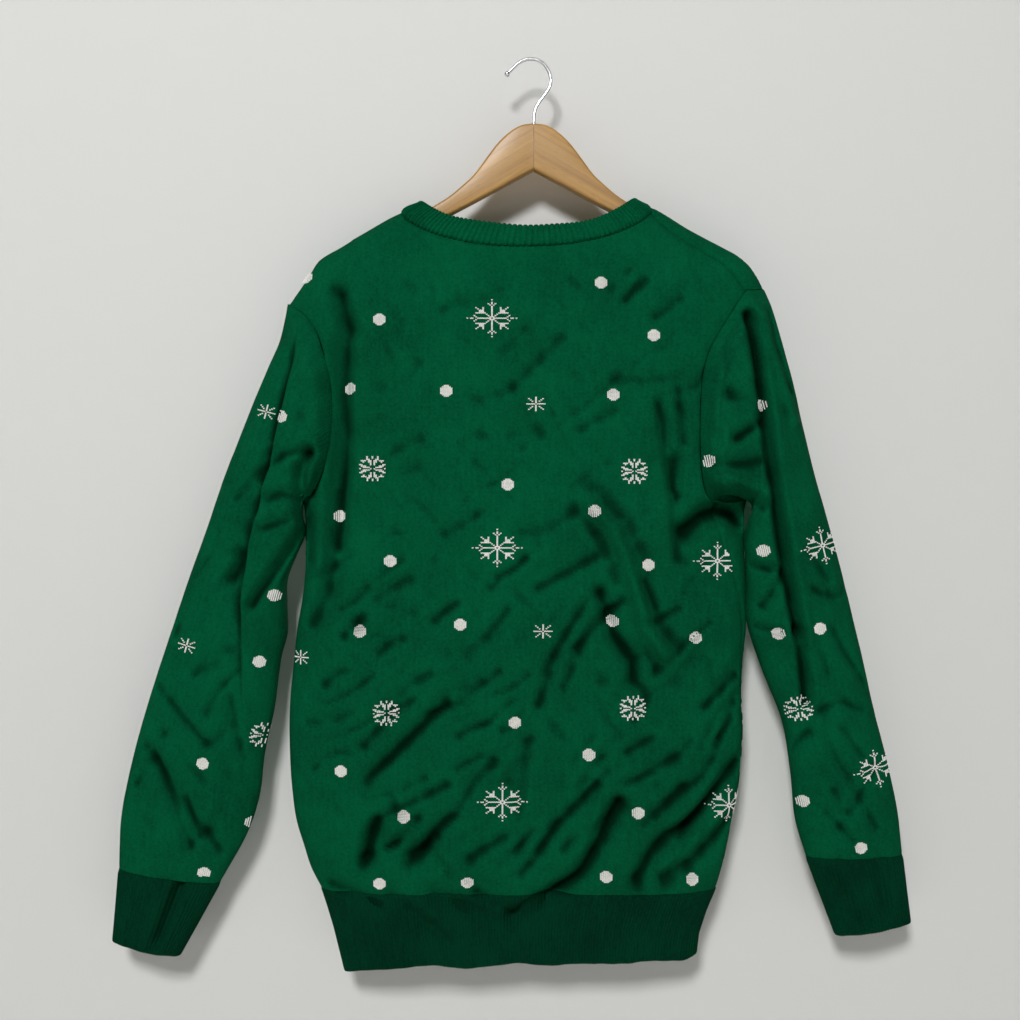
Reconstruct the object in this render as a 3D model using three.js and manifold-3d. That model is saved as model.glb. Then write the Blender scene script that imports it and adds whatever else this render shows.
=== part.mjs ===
import * as THREE from 'three';
import { mergeVertices } from 'three/addons/utils/BufferGeometryUtils.js';
import Module from 'manifold-3d';

// A crew neck jumper in fine green knit, seen from its back, on a wooden coat hanger.
// Millimetres, +Z up, the garment's back faces -Y. The origin is inside the top of the hook,
// where a rail bears.

const WALL = 2;                 // knitted cloth
const SEAM_GAP = 0.4;           // between two pieces where they are sewn
const BODY_DEPTH = 25;          // half the body's thickness as it hangs
const TOP_REACH = 110;          // how far below the shoulder line the body is at full thickness
const SIDE_REACH = 80;          // how far in from each side it is at full thickness
const TOP_ROUND = BODY_DEPTH ** 2 / TOP_REACH;    // the fold's radius along the shoulders
const SIDE_ROUND = BODY_DEPTH ** 2 / SIDE_REACH;  // and along the sides
const BODY_SEAM_Z = -768;       // where the hem rib is joined on
const RIB_HEIGHT = 0.7;
const COLLAR_WALL = 2.6;

const HANGER_THICKNESS = 12;
const HANGER_BEVEL = 4;
const HANGER_JOINT_GAP = 0.3;
const WIRE_RADIUS = 1.6;
const WIRE_HOLE_RADIUS = 2;
const WIRE_SEAT_Z = -71;        // the bottom of the wire's hole in the wood
const BALL_RADIUS = 2.7;

const ARM_RINGS = 20;

/** Rows of numbers with named columns, from a heading and lines of values. */
function table(heading, rows) {
  const names = heading.split(' ');
  return rows.map((row) => Object.fromEntries(names.map((name, i) => [name, row[i]])));
}

/** A smooth curve through one column of a table, as a function of its key column. */
function smooth(rows, key, name) {
  const sorted = [...rows].sort((a, b) => a[key] - b[key]);
  const at = sorted.map((row) => row[key]);
  const value = sorted.map((row) => row[name]);
  const last = at.length - 1;
  const slope = at.map((_, i) => {
    const before = Math.max(i - 1, 0);
    const after = Math.min(i + 1, last);
    return (value[after] - value[before]) / (at[after] - at[before]);
  });
  return (x) => {
    if (x <= at[0]) return value[0] + (x - at[0]) * slope[0];
    if (x >= at[last]) return value[last] + (x - at[last]) * slope[last];
    let i = 0;
    while (x > at[i + 1]) i += 1;
    const span = at[i + 1] - at[i];
    const t = (x - at[i]) / span;
    const t2 = t * t;
    const t3 = t2 * t;
    return (2 * t3 - 3 * t2 + 1) * value[i] + (t3 - 2 * t2 + t) * span * slope[i]
      + (3 * t2 - 2 * t3) * value[i + 1] + (t3 - t2) * span * slope[i + 1];
  };
}

/** A smooth route through points: the fraction of its length gives the point. */
function route(points) {
  let run = 0;
  const rows = points.map((point, i) => {
    if (i > 0) run += Math.hypot(point[0] - points[i - 1][0], point[1] - points[i - 1][1]);
    return { run, a: point[0], b: point[1] };
  });
  const a = smooth(rows, 'run', 'a');
  const b = smooth(rows, 'run', 'b');
  return (t) => [a(t * run), b(t * run)];
}

const mix = (a, b, t) => a + (b - a) * t;
const clamp01 = (t) => Math.min(Math.max(t, 0), 1);
const ease = (t) => clamp01(t) ** 2 * (3 - 2 * clamp01(t));
const bulge = (t) => (t >= 1 ? 1 : Math.sqrt(Math.max(0, 1 - (1 - t) ** 2)));

// The body's outline, x and z: the shoulder line, and the sides at each height. Above the
// armholes the sides lie out in the sleeves, because there the cloth runs on into them.
const SHOULDER_LINE = table('x z', [
  [-229, -227], [-217, -210], [-209, -198], [-203, -188], [-194, -180.5], [-183, -174.5],
  [-162, -162], [-123, -141], [-70, -128], [-8, -124], [60, -126], [108, -136.5],
  [144, -157.5], [176, -174.5], [188, -181], [199, -190], [206, -199.5], [216, -216],
]);
const SIDES = table('z left right', [
  [-140, -262, 252], [-227, -262, 250], [-300, -264, 244], [-360, -248, 226],
  [-390, -226, 207], [-412, -214, 197], [-437, -212, 195], [-470, -212, 196.5],
  [-500, -215, 198], [-530, -220, 197], [-560, -223, 194], [-590, -226, 193],
  [-620, -227, 194], [-655, -226, 192], [-680, -224, 189], [-705, -220.5, 184],
  [-730, -213, 179], [-750, -206.5, 174.5], [-771, -196, 168], [-790, -190, 160],
  [-805, -184.5, 154.5], [-825, -178, 151.5], [-845, -172, 150],
]);
const FULLNESS = table('z depth', [
  [-140, 25], [-437, 25], [-620, 28], [-740, 26], [-771, 23], [-845, 19],
]);
const shoulderZ = smooth(SHOULDER_LINE, 'x', 'z');
const leftX = smooth(SIDES, 'z', 'left');
const rightX = smooth(SIDES, 'z', 'right');
const fullness = smooth(FULLNESS, 'z', 'depth');

// Folds in the cloth: where each runs, how deep it is (a ridge is below 0) and how wide.
const BACK_FOLDS = [
  { path: [[-179, -218], [-171, -251], [-176, -310], [-173, -346], [-177, -399], [-187, -491], [-201, -522]],
    depth: 6, width: 10 },
  { path: [[-195, -320], [-195, -470]], depth: -4, width: 10 },
  { path: [[132, -371], [137, -464]], depth: 4, width: 9 },
  { path: [[52, -415], [74, -434], [89, -476], [102, -524], [121, -552]], depth: -5, width: 10 },
  { path: [[62, -495], [74, -533], [91, -557], [93, -577]], depth: 4, width: 9 },
  { path: [[-81, -598], [-127, -643], [-149, -664]], depth: 3, width: 9 },
  { path: [[-145, -710], [-155, -739]], depth: 5, width: 9 },
  { path: [[-111, -739], [-94, -726]], depth: 5, width: 9 },
  { path: [[79, -689], [68, -715], [48, -750], [-18, -792]], depth: 6, width: 10 },
  { path: [[192, -655], [173, -673], [154, -698], [124, -719], [108, -738], [96, -760]], depth: 5, width: 9 },
  { path: [[182, -710], [148, -744], [119, -759]], depth: 5, width: 9 },
  { path: [[-89, -770], [-23, -797]], depth: 4, width: 9 },
];
const FRONT_FOLDS = [
  { path: [[-165, -250], [-172, -340], [-180, -450]], depth: 5, width: 11 },
  { path: [[150, -260], [158, -360], [150, -470]], depth: 5, width: 11 },
  { path: [[-60, -430], [-90, -520], [-130, -610]], depth: 4, width: 12 },
  { path: [[70, -480], [40, -590], [50, -700]], depth: -4, width: 12 },
  { path: [[150, -640], [90, -710], [30, -750]], depth: 5, width: 11 },
];

/** How far a set of folds pushes the cloth in at a point of the body. */
function foldDepth(folds, x, z) {
  let sum = 0;
  for (const { path, depth, width } of folds) {
    let nearest = Infinity;
    for (let i = 0; i + 1 < path.length; i += 1) {
      const [ax, az] = path[i];
      const [bx, bz] = path[i + 1];
      const along = clamp01(((x - ax) * (bx - ax) + (z - az) * (bz - az))
        / ((bx - ax) ** 2 + (bz - az) ** 2));
      nearest = Math.min(nearest, Math.hypot(x - mix(ax, bx, along), z - mix(az, bz, along)));
    }
    sum += depth * Math.exp(-((nearest / width) ** 2));
  }
  return sum;
}

/**
 * The body's outer surface. p and q are places on the cloth laid flat, which match x and z
 * away from the edges and run on round the shoulders and sides to the other face. side is -1
 * for the back and 1 for the front.
 */
function bodyPoint(p, q, side) {
  const fromRidge = shoulderZ(p) + TOP_ROUND - q;
  const z = shoulderZ(p) + TOP_ROUND - Math.hypot(fromRidge, TOP_ROUND);
  const fromLeft = p - leftX(z) + SIDE_ROUND;
  const fromRight = rightX(z) + SIDE_ROUND - p;
  const x = p + Math.hypot(fromLeft, SIDE_ROUND) - fromLeft
    - Math.hypot(fromRight, SIDE_ROUND) + fromRight;
  const depth = fullness(z) * bulge(Math.max(shoulderZ(x) - z, 0) / TOP_REACH)
    * bulge(Math.max(x - leftX(z), 0) / SIDE_REACH) * bulge(Math.max(rightX(z) - x, 0) / SIDE_REACH);
  const face = side * Math.sign(fromRidge) * Math.sign(fromLeft) * Math.sign(fromRight);
  const fold = foldDepth(face < 0 ? BACK_FOLDS : FRONT_FOLDS, x, z) * clamp01(depth / 8 - 0.5);
  return new THREE.Vector3(x, face * (depth - fold), z);
}

/** The direction out of the cloth at a point of the body. */
function bodyNormal(p, q, side) {
  const step = 0.6;
  const across = bodyPoint(p + step, q, side).sub(bodyPoint(p - step, q, side));
  const up = bodyPoint(p, q + step, side).sub(bodyPoint(p, q - step, side));
  return across.cross(up).multiplyScalar(-side).normalize();
}

/** A place on the laid-out cloth from a height z on one face. */
function flatPlace(x, z) {
  const top = shoulderZ(x) + TOP_ROUND;
  return [x, top - Math.sqrt(Math.max((top - z) ** 2 - TOP_ROUND ** 2, 0))];
}

// The back's armhole seams, from the shoulder to the underarm, x and z.
const LEFT_ARMHOLE_BACK = route([[-229, -227], [-212, -238], [-200, -253], [-192, -274],
  [-186, -297], [-184, -325], [-185, -350], [-189, -374], [-196, -392], [-206, -405]]);
const RIGHT_ARMHOLE_BACK = route([[195, -216], [185, -230], [167, -258], [158, -276],
  [153, -298], [151, -328], [151, -360], [153, -387], [157, -403], [164, -411]]);
const RIGHT_SHOULDER_END = route([[216, -212], [207, -215], [195, -216]]);
const RIGHT_SHOULDER_PART = 0.085;  // how much of the sleeve's back half that end takes
const FRONT_SHOULDER_PART = 0.14;   // and how much of the front's right edge

// The side seams: how far each lies from the fold at the side, round onto the back.
const SIDE_SEAM = table('z left right', [
  [-405, 14.5, 39], [-425, 6, 36], [-450, -2, 29], [-466, -4, 22.6], [-510, -4, 12],
  [-560, -4, 5], [-620, -4, 0], [-700, -4, -3], [-771, -4, -4],
]);
const sideSeamLeft = smooth(SIDE_SEAM, 'z', 'left');
const sideSeamRight = smooth(SIDE_SEAM, 'z', 'right');
const seamLeft = (z, side) => leftX(z) - SIDE_ROUND - side * sideSeamLeft(z);
const seamRight = (z, side) => rightX(z) + SIDE_ROUND + side * sideSeamRight(z);

const LEFT_UNDERARM_Z = -405;
const RIGHT_UNDERARM_Z = -411;
const LEFT_ARMHOLE_FRONT = route([[-229, -221], [-212, -236], [-196, -258], [-186, -290],
  [-182, -325], [-184, -352], [-191, -377], [-203, -395], [-218, -403],
  [seamLeft(LEFT_UNDERARM_Z, 1), LEFT_UNDERARM_Z]]);
const RIGHT_ARMHOLE_FRONT = route([[216, -212], [200, -224], [180, -245], [166, -275],
  [160, -310], [161, -345], [168, -375], [182, -396], [203, -407],
  [seamRight(RIGHT_UNDERARM_Z, 1), RIGHT_UNDERARM_Z]]);

// The neck seam and the shoulder seams. The neck dips from its two ends on the shoulders.
const NECK = { left: -122, right: 108, leftZ: -142.5, rightZ: -141, backDip: 27.5, frontDip: 85 };
const neckMiddle = (NECK.left + NECK.right) / 2;
const neckHalf = (NECK.right - NECK.left) / 2;
/** How far the neck line drops at a place across it, from -1 at one end to 1 at the other. */
const dipShape = (across, side) => (side < 0
  ? (1 - Math.min(Math.abs(across), 1) ** 2.3) ** 0.75
  : 1 - Math.min(Math.abs(across), 1) ** 2);
const SHOULDER_SEAM = table('x z', [
  [108, -141], [117, -153], [135, -167], [158, -181], [180, -196], [195, -216],
]);
const rightShoulderZ = smooth(SHOULDER_SEAM, 'x', 'z');
const LEFT_SEAM_BACK = 4.5;     // how far behind the shoulder line the seams start
const LEFT_END_BACK = 1;        // and at the sleeve
const RIGHT_SEAM_BACK = 8.4;

/** The top edge of the back or front on the laid-out cloth, at x. */
function topEdge(x, side) {
  const ridge = shoulderZ(x) + TOP_ROUND;
  const below = (z) => ridge - flatPlace(x, z)[1];
  if (x >= NECK.right) return ridge + side * below(rightShoulderZ(x));
  if (x <= NECK.left) {
    return ridge + side * mix(LEFT_SEAM_BACK, LEFT_END_BACK, (NECK.left - x) / (NECK.left - SHOULDER_LINE[0].x));
  }
  const t = (x - NECK.left) / (NECK.right - NECK.left);
  const dip = dipShape((x - neckMiddle) / neckHalf, side) * (side < 0 ? NECK.backDip : NECK.frontDip);
  const down = below(mix(NECK.leftZ, NECK.rightZ, t) - dip);
  return side < 0 ? ridge - down : ridge - down + 2 * mix(LEFT_SEAM_BACK, RIGHT_SEAM_BACK, t) * (1 - ease(dip / 25));
}

/** One closed wall from a grid of outer and inner points; a round one joins its first column. */
function wallGeometry(grid, round) {
  const rows = grid.length;
  const columns = grid[0].length;
  const position = [];
  const index = [];
  for (const layer of ['outer', 'inner']) {
    for (const row of grid) for (const cell of row) position.push(...cell[layer].toArray());
  }
  const at = (layer, i, j) => layer * rows * columns + i * columns + (j % columns);
  const quad = (a, b, c, d) => index.push(a, b, c, a, c, d);
  const lastColumn = round ? columns : columns - 1;
  for (let j = 0; j < lastColumn; j += 1) {
    for (let i = 0; i + 1 < rows; i += 1) {
      quad(at(0, i, j), at(0, i + 1, j), at(0, i + 1, j + 1), at(0, i, j + 1));
      quad(at(1, i, j), at(1, i, j + 1), at(1, i + 1, j + 1), at(1, i + 1, j));
    }
    quad(at(0, 0, j), at(0, 0, j + 1), at(1, 0, j + 1), at(1, 0, j));
    quad(at(0, rows - 1, j), at(1, rows - 1, j), at(1, rows - 1, j + 1), at(0, rows - 1, j + 1));
  }
  if (!round) {
    for (let i = 0; i + 1 < rows; i += 1) {
      quad(at(0, i, 0), at(1, i, 0), at(1, i + 1, 0), at(0, i + 1, 0));
      quad(at(0, i, columns - 1), at(0, i + 1, columns - 1), at(1, i + 1, columns - 1), at(1, i, columns - 1));
    }
  }
  const geometry = new THREE.BufferGeometry();
  geometry.setAttribute('position', new THREE.Float32BufferAttribute(position, 3));
  geometry.setIndex(volumeOf(position, index) < 0 ? index.reverse() : index);
  return geometry;
}

/** The volume that a closed list of triangles holds, below 0 where they face in. */
function volumeOf(position, index) {
  const point = (k) => new THREE.Vector3().fromArray(position, 3 * k);
  let volume = 0;
  for (let i = 0; i < index.length; i += 3) {
    volume += point(index[i]).dot(point(index[i + 1]).cross(point(index[i + 2]))) / 6;
  }
  return volume;
}

/** A cell of a wall's grid on the body. */
function bodyCell(p, q, side, raised = 0, thick = WALL) {
  const normal = bodyNormal(p, q, side);
  const base = bodyPoint(p, q, side);
  return {
    outer: base.clone().addScaledVector(normal, raised),
    inner: base.addScaledVector(normal, -thick),
  };
}

// The body's back and front share their columns and rows, so that their seams agree.
const UNDERARM_ROW = 0.36;      // where on the way down the armholes end
const neckStart = (NECK.left + 229) / 424;
const neckEnd = (NECK.right + 229) / 424;
const quarter = (t) => 1 - Math.cos((Math.PI * t) / 2);
const steps = (count, shape) => Array.from({ length: count }, (_, i) => shape(i / count));
const PANEL_COLUMNS = [
  ...steps(5, (t) => neckStart * quarter(t)),
  ...steps(12, (t) => mix(neckStart, neckEnd, mix(t, (1 - Math.cos(Math.PI * t)) / 2, 0.95))),
  ...steps(6, (t) => mix(neckEnd, 1, 1 - quarter(1 - t))),
  1,
];
const PANEL_ROWS = [
  ...steps(9, (t) => 0.06 * t),
  ...steps(7, (t) => mix(0.06, UNDERARM_ROW, t)),
  ...steps(10, (t) => mix(UNDERARM_ROW, 1, t)),
  1,
];
// The rows whose ends a sleeve's first ring meets, as fractions of the armhole.
const ARMHOLE_STOPS = PANEL_ROWS.filter((v, i) => v <= UNDERARM_ROW && (i > 9 || i % 3 === 0))
  .map((v) => v / UNDERARM_ROW);

function panelGrid(side) {
  const armhole = side < 0
    ? { left: (t) => flatPlace(...LEFT_ARMHOLE_BACK(t)), right: (t) => flatPlace(...RIGHT_ARMHOLE_BACK(t)) }
    : { left: LEFT_ARMHOLE_FRONT, right: frontRightEdge };
  const leftTop = armhole.left(0);
  const rightTop = armhole.right(0);
  const edge = (v, name, underarmZ, seam) => {
    if (v < UNDERARM_ROW) return armhole[name](v / UNDERARM_ROW);
    const z = mix(underarmZ, BODY_SEAM_Z, (v - UNDERARM_ROW) / (1 - UNDERARM_ROW));
    return [seam(z, side), z];
  };
  return PANEL_ROWS.map((v) => {
    const left = edge(v, 'left', LEFT_UNDERARM_Z, seamLeft);
    const right = edge(v, 'right', RIGHT_UNDERARM_Z, seamRight);
    return PANEL_COLUMNS.map((m) => {
      const topX = mix(leftTop[0], rightTop[0], m);
      const lift = topEdge(topX, side) - mix(leftTop[1], rightTop[1], m);
      const p = mix(left[0] + SEAM_GAP / 2, right[0] - SEAM_GAP / 2, m);
      const q = mix(left[1], right[1], m) + lift * Math.min(1, 80 * m) * (1 - v) ** 4
        + (v < 0.5 ? -SEAM_GAP / 2 : SEAM_GAP / 2);
      return bodyCell(p, q, side);
    });
  });
}

/** The front's right armhole edge, from the shoulder seam on the back over to the front. */
function frontRightEdge(t) {
  if (t > FRONT_SHOULDER_PART) {
    return RIGHT_ARMHOLE_FRONT((t - FRONT_SHOULDER_PART) / (1 - FRONT_SHOULDER_PART));
  }
  const [x, z] = RIGHT_SHOULDER_END(1 - t / FRONT_SHOULDER_PART);
  const [p, q] = flatPlace(x, z);
  return [p, 2 * (shoulderZ(p) + TOP_ROUND) - q];
}

// The sleeves: rings from the armhole to the cuff, each from its outer to its inner edge.
const LEFT_SLEEVE = table('w xo zo xi zi yi back front fold step', [
  [0.00, -229, -227, -206, -405, -19, 0, 0, 0.20, 0],
  [0.04, -231, -241, -211, -407, -22, 16, 16, 0.20, 2],
  [0.09, -236, -262, -216, -413, -16, 22, 20, 0.22, 5],
  [0.15, -246, -286, -219, -425, -8, 26, 22, 0.26, 8],
  [0.22, -258, -314, -219, -440, -3, 28, 24, 0.32, 9],
  [0.29, -271, -347, -226, -459, -2, 28, 24, 0.42, 9],
  [0.37, -287, -388, -227, -482, 0, 27, 24, 0.48, 9],
  [0.45, -303, -435, -227, -505, 0, 25, 24, 0.50, 7],
  [0.53, -320, -482, -229, -532, 0, 23, 23, 0.52, 4],
  [0.61, -334, -524, -235, -557, 0, 22, 22, 0.60, 4],
  [0.70, -350, -572, -241, -602, 0, 21, 21, 0.70, 4],
  [0.79, -364, -618, -250, -644, 0, 21, 20, 0.78, 3],
  [0.87, -375, -661, -255, -684, 0, 20, 19, 0.82, 2],
  [0.94, -383, -704, -267, -720, 0, 18, 18, 0.84, 0],
  [1.00, -385, -750, -291, -763, 0, 16, 16, 0.84, 0],
]);
const RIGHT_SLEEVE = table('w xo zo xi zi yi back front fold step', [
  [0.00, 216, -215, 164, -411, -21, 0, 0, 0.30, 0],
  [0.04, 221, -230, 169, -405, -25, 18, 16, 0.30, 2],
  [0.08, 226, -247, 184, -405, -22, 24, 20, 0.30, 5],
  [0.13, 232, -270, 200, -413, -13, 27, 22, 0.32, 9],
  [0.19, 240, -300, 206, -427, -6, 29, 23, 0.36, 12],
  [0.26, 249, -340, 205, -444, -2, 30, 24, 0.42, 13],
  [0.34, 260, -385, 203, -462, 0, 29, 24, 0.50, 13],
  [0.42, 271, -423, 202, -482, 0, 27, 24, 0.54, 12],
  [0.50, 284, -470, 203, -512, 0, 25, 23, 0.56, 12],
  [0.60, 303, -548, 215, -564, 0, 24, 22, 0.58, 9],
  [0.70, 315, -601, 231, -614, 0, 22, 21, 0.66, 4],
  [0.80, 327, -648, 239, -662, 0, 21, 20, 0.70, 2],
  [0.90, 337, -694, 243, -704, 0, 19, 18, 0.70, 0],
  [1.00, 342, -737, 253, -739, 0, 16, 16, 0.70, 0],
]);
const UNDERARM_EASE = 4.5;        // more room where the cloth turns under the arm
const ARM_FADE = 0.3;           // how far down a sleeve its rings still bow with the armhole

/** A sleeve's place on the armhole seam at the fraction c of one half, as p, q and side. */
const LEFT_SEAM = (c, half) => (half < 0
  ? [...flatPlace(...LEFT_ARMHOLE_BACK(c)), -1]
  : [...LEFT_ARMHOLE_FRONT(c), 1]);
const RIGHT_SEAM = (c, half) => {
  if (half > 0) return [...RIGHT_ARMHOLE_FRONT(c), 1];
  if (c < RIGHT_SHOULDER_PART) return [...flatPlace(...RIGHT_SHOULDER_END(c / RIGHT_SHOULDER_PART)), -1];
  const t = (c - RIGHT_SHOULDER_PART) / (1 - RIGHT_SHOULDER_PART);
  return [...flatPlace(...RIGHT_ARMHOLE_BACK(t)), -1];
};

/** A sleeve's outer surface: w runs from armhole to cuff, angle from the outer edge round the back. */
function sleeveSurface(rows, seam, foldShape) {
  const column = Object.fromEntries(Object.keys(rows[0]).map((name) => [name, smooth(rows, 'w', name)]));
  const tube = (w, c, half, swell) => new THREE.Vector3(
    mix(column.xo(w), column.xi(w), c),
    mix(0, column.yi(w), c) + (half < 0 ? -column.back(w) : column.front(w)) * swell,
    mix(column.zo(w), column.zi(w), c),
  );
  return (w, angle) => {
    const c = (1 - Math.cos(angle)) / 2;
    const half = Math.sin(angle) >= 0 ? -1 : 1;
    const swell = Math.abs(Math.sin(angle)) ** 0.8;
    const point = tube(w, c, half, swell);
    const fade = Math.max(0, 1 - w / ARM_FADE) ** 2;
    if (fade > 0) {
      const start = bodyPoint(...seam(c, half)).sub(tube(0, c, half, swell));
      point.addScaledVector(start, fade);
    }
    if (half < 0) point.y += foldShape(c - column.fold(w)) * column.step(w) * ease(swell * 1.6);
    return point;
  };
}
const leftFold = (d) => 0.35 - ease((d + 0.03) / 0.09);
const rightFold = (d) => Math.exp(-((d / 0.06) ** 2));

/** The direction out of a ring in its own plane, so that two rings on one line agree. */
function ringNormals(points) {
  const count = points.length;
  const across = points[Math.round(count / 2)].clone().sub(points[0]);
  const axis = across.cross(new THREE.Vector3(0, 1, 0)).normalize();
  const middle = points.reduce((sum, point) => sum.add(point), new THREE.Vector3()).divideScalar(count);
  return points.map((point, j) => {
    const along = points[(j + 1) % count].clone().sub(points[(j + count - 1) % count]);
    const normal = along.cross(axis).normalize();
    return normal.dot(point.clone().sub(middle)) < 0 ? normal.negate() : normal;
  });
}

/** A grid of outer and inner points from rings of outer points, with each ring's normals. */
function ringWall(rings, normals, thick) {
  return rings.map((ring, i) => ring.map((outer, j) => ({
    outer,
    inner: outer.clone().addScaledVector(normals[i][j], -thick),
  })));
}

/** The angles round a sleeve from its stops down the back half and the front half. */
function stopAngles(back, front) {
  const angle = (c) => Math.acos(1 - 2 * c);
  return [...back.map(angle), ...front.filter((c) => c > 0 && c < 1).reverse().map((c) => 2 * Math.PI - angle(c))];
}
const LEFT_ANGLES = stopAngles(ARMHOLE_STOPS, ARMHOLE_STOPS);
const RIGHT_ANGLES = stopAngles(
  [0, RIGHT_SHOULDER_PART / 2, ...ARMHOLE_STOPS.map((t) => mix(RIGHT_SHOULDER_PART, 1, t))],
  ARMHOLE_STOPS.map((t) => (t - FRONT_SHOULDER_PART) / (1 - FRONT_SHOULDER_PART)),
);

/** turn is 1 for the sleeve whose outer edge is at +X and -1 for the other. */
function sleeveGeometry(rows, seam, foldShape, angles, turn) {
  const surface = sleeveSurface(rows, seam, foldShape);
  const levels = Array.from({ length: ARM_RINGS }, (_, i) => (i / (ARM_RINGS - 1)) ** 1.35);
  const rings = levels.map((w) => angles.map((angle) => surface(w, angle)));
  rings[0].forEach((point, j) => {
    const gap = 1.3 * SEAM_GAP + UNDERARM_EASE * ((1 - Math.cos(angles[j])) / 2) ** 10;
    point.addScaledVector(surface(0.03, angles[j]).sub(point).normalize(), gap);
  });
  const normals = rings.map((ring, i) => {
    if (i === levels.length - 1) return ringNormals(ring);
    return ring.map((point, j) => {
      const count = ring.length;
      const along = ring[(j + 1) % count].clone().sub(ring[(j + count - 1) % count]);
      const down = rings[i + 1][j].clone().sub(rings[Math.max(i - 1, 0)][j]);
      const own = along.cross(down).multiplyScalar(turn).normalize();
      if (i > 1) return own;
      const half = Math.sin(angles[j]) >= 0 ? -1 : 1;
      const c = (1 - Math.cos(angles[j])) / 2;
      return own.lerp(bodyNormal(...seam(c, half)), i === 0 ? 1 : 0.3).normalize();
    });
  });
  return wallGeometry(ringWall(rings, normals, WALL), true);
}

/** The height of a rib at a place along its band. */
const ribAt = (k) => (k % 2 === 0 ? RIB_HEIGHT : 0);

// The cuffs: ribbed tubes on from each sleeve's last ring.
const LEFT_CUFF = { end: { xo: -390.5, zo: -815.5, xi: -328, zi: -830 }, depth: 14, fold: 3 };
const RIGHT_CUFF = { end: { xo: 349.5, zo: -798.5, xi: 280, zi: -811 }, depth: 14, fold: 0 };
const CUFF_GAP = 0.45;

function cuffGeometry(rows, cuff) {
  const top = rows[rows.length - 1];
  const columns = 54;
  const rings = [0, 0.5, 1].map((t) => {
    const ring = [];
    for (let j = 0; j < columns; j += 1) {
      const angle = (2 * Math.PI * j) / columns;
      const c = (1 - Math.cos(angle)) / 2;
      const swell = Math.sign(-Math.sin(angle)) * Math.abs(Math.sin(angle)) ** 0.8;
      const fold = cuff.fold * t * Math.exp(-(((c - 0.62) / 0.12) ** 2)) * (swell < 0 ? 1 : 0);
      ring.push(new THREE.Vector3(
        mix(mix(top.xo, top.xi, c), mix(cuff.end.xo, cuff.end.xi, c), t),
        mix(top.back, cuff.depth, t) * swell + fold,
        mix(mix(top.zo, top.zi, c), mix(cuff.end.zo, cuff.end.zi, c), t) - CUFF_GAP * (1 - t),
      ));
    }
    return ring;
  });
  const normals = rings.map(ringNormals);
  const grid = ringWall(rings, normals, WALL).map((row, i) => row.map((cell, j) => ({
    outer: cell.outer.clone().addScaledVector(normals[i][j], ribAt(j)),
    inner: cell.inner,
  })));
  return wallGeometry(grid, true);
}

// The hem rib: a ribbed tube round the body, on from the hem seam.
const HEM_EDGE = table('x z', [
  [-185, -845], [-172, -844], [-154, -840], [-133, -838], [-89, -833], [-61, -836], [-34, -833],
  [-16, -830.5], [9, -833], [36, -831.5], [77, -831.5], [102, -829.5], [132, -831.5], [146, -828.5],
  [160, -826],
]);
const hemEdgeZ = smooth(HEM_EDGE, 'x', 'z');

function hemGeometry() {
  const ribs = 116;
  const rows = [0, 0.45, 1];
  const grid = rows.map((t) => {
    const row = [];
    for (let k = 0; k < 2 * ribs; k += 1) {
      const turn = k / ribs;
      const side = turn < 1 ? -1 : 1;
      const across = turn < 1 ? turn : 2 - turn;
      const z = (p) => mix(BODY_SEAM_Z - 1.5 * SEAM_GAP, hemEdgeZ(p), t);
      const rough = mix(leftX(z(-172)), rightX(z(150)), across);
      const height = z(rough);
      const p = mix(leftX(height) - SIDE_ROUND, rightX(height) + SIDE_ROUND, across);
      row.push(bodyCell(p, height, side, ribAt(k), WALL));
    }
    return row;
  });
  return wallGeometry(grid, true);
}

// The neck rib: a band that stands up from the neck seam and leans in.
const COLLAR_TOP = table('x back', [
  [-105.5, -132.5], [-96, -137], [-81, -144], [-63, -148.5], [-36, -152], [-8, -154.5], [17, -153.5],
  [44, -151], [61, -146.5], [79, -137.5], [94.5, -130],
]);
const collarTopZ = smooth(COLLAR_TOP, 'x', 'back');
const COLLAR = { left: -105.5, right: 94.5, leftZ: -132.5, rightZ: -130, frontDip: 80, halfDepth: 15.5 };

/** A point on the body's neck edge: its first row between the neck's two ends. */
function neckEdgeAt(grid, across) {
  const first = PANEL_COLUMNS.indexOf(neckStart);
  const last = PANEL_COLUMNS.indexOf(neckEnd);
  const along = first + across * (last - first);
  const j = Math.min(Math.floor(along), last - 1);
  const blend = (row, layer) => grid[row][j][layer].clone().lerp(grid[row][j + 1][layer], along - j);
  const up = blend(0, 'outer').sub(blend(1, 'outer')).normalize().multiplyScalar(SEAM_GAP);
  return { outer: blend(0, 'outer').add(up), inner: blend(0, 'inner').add(up) };
}

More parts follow.
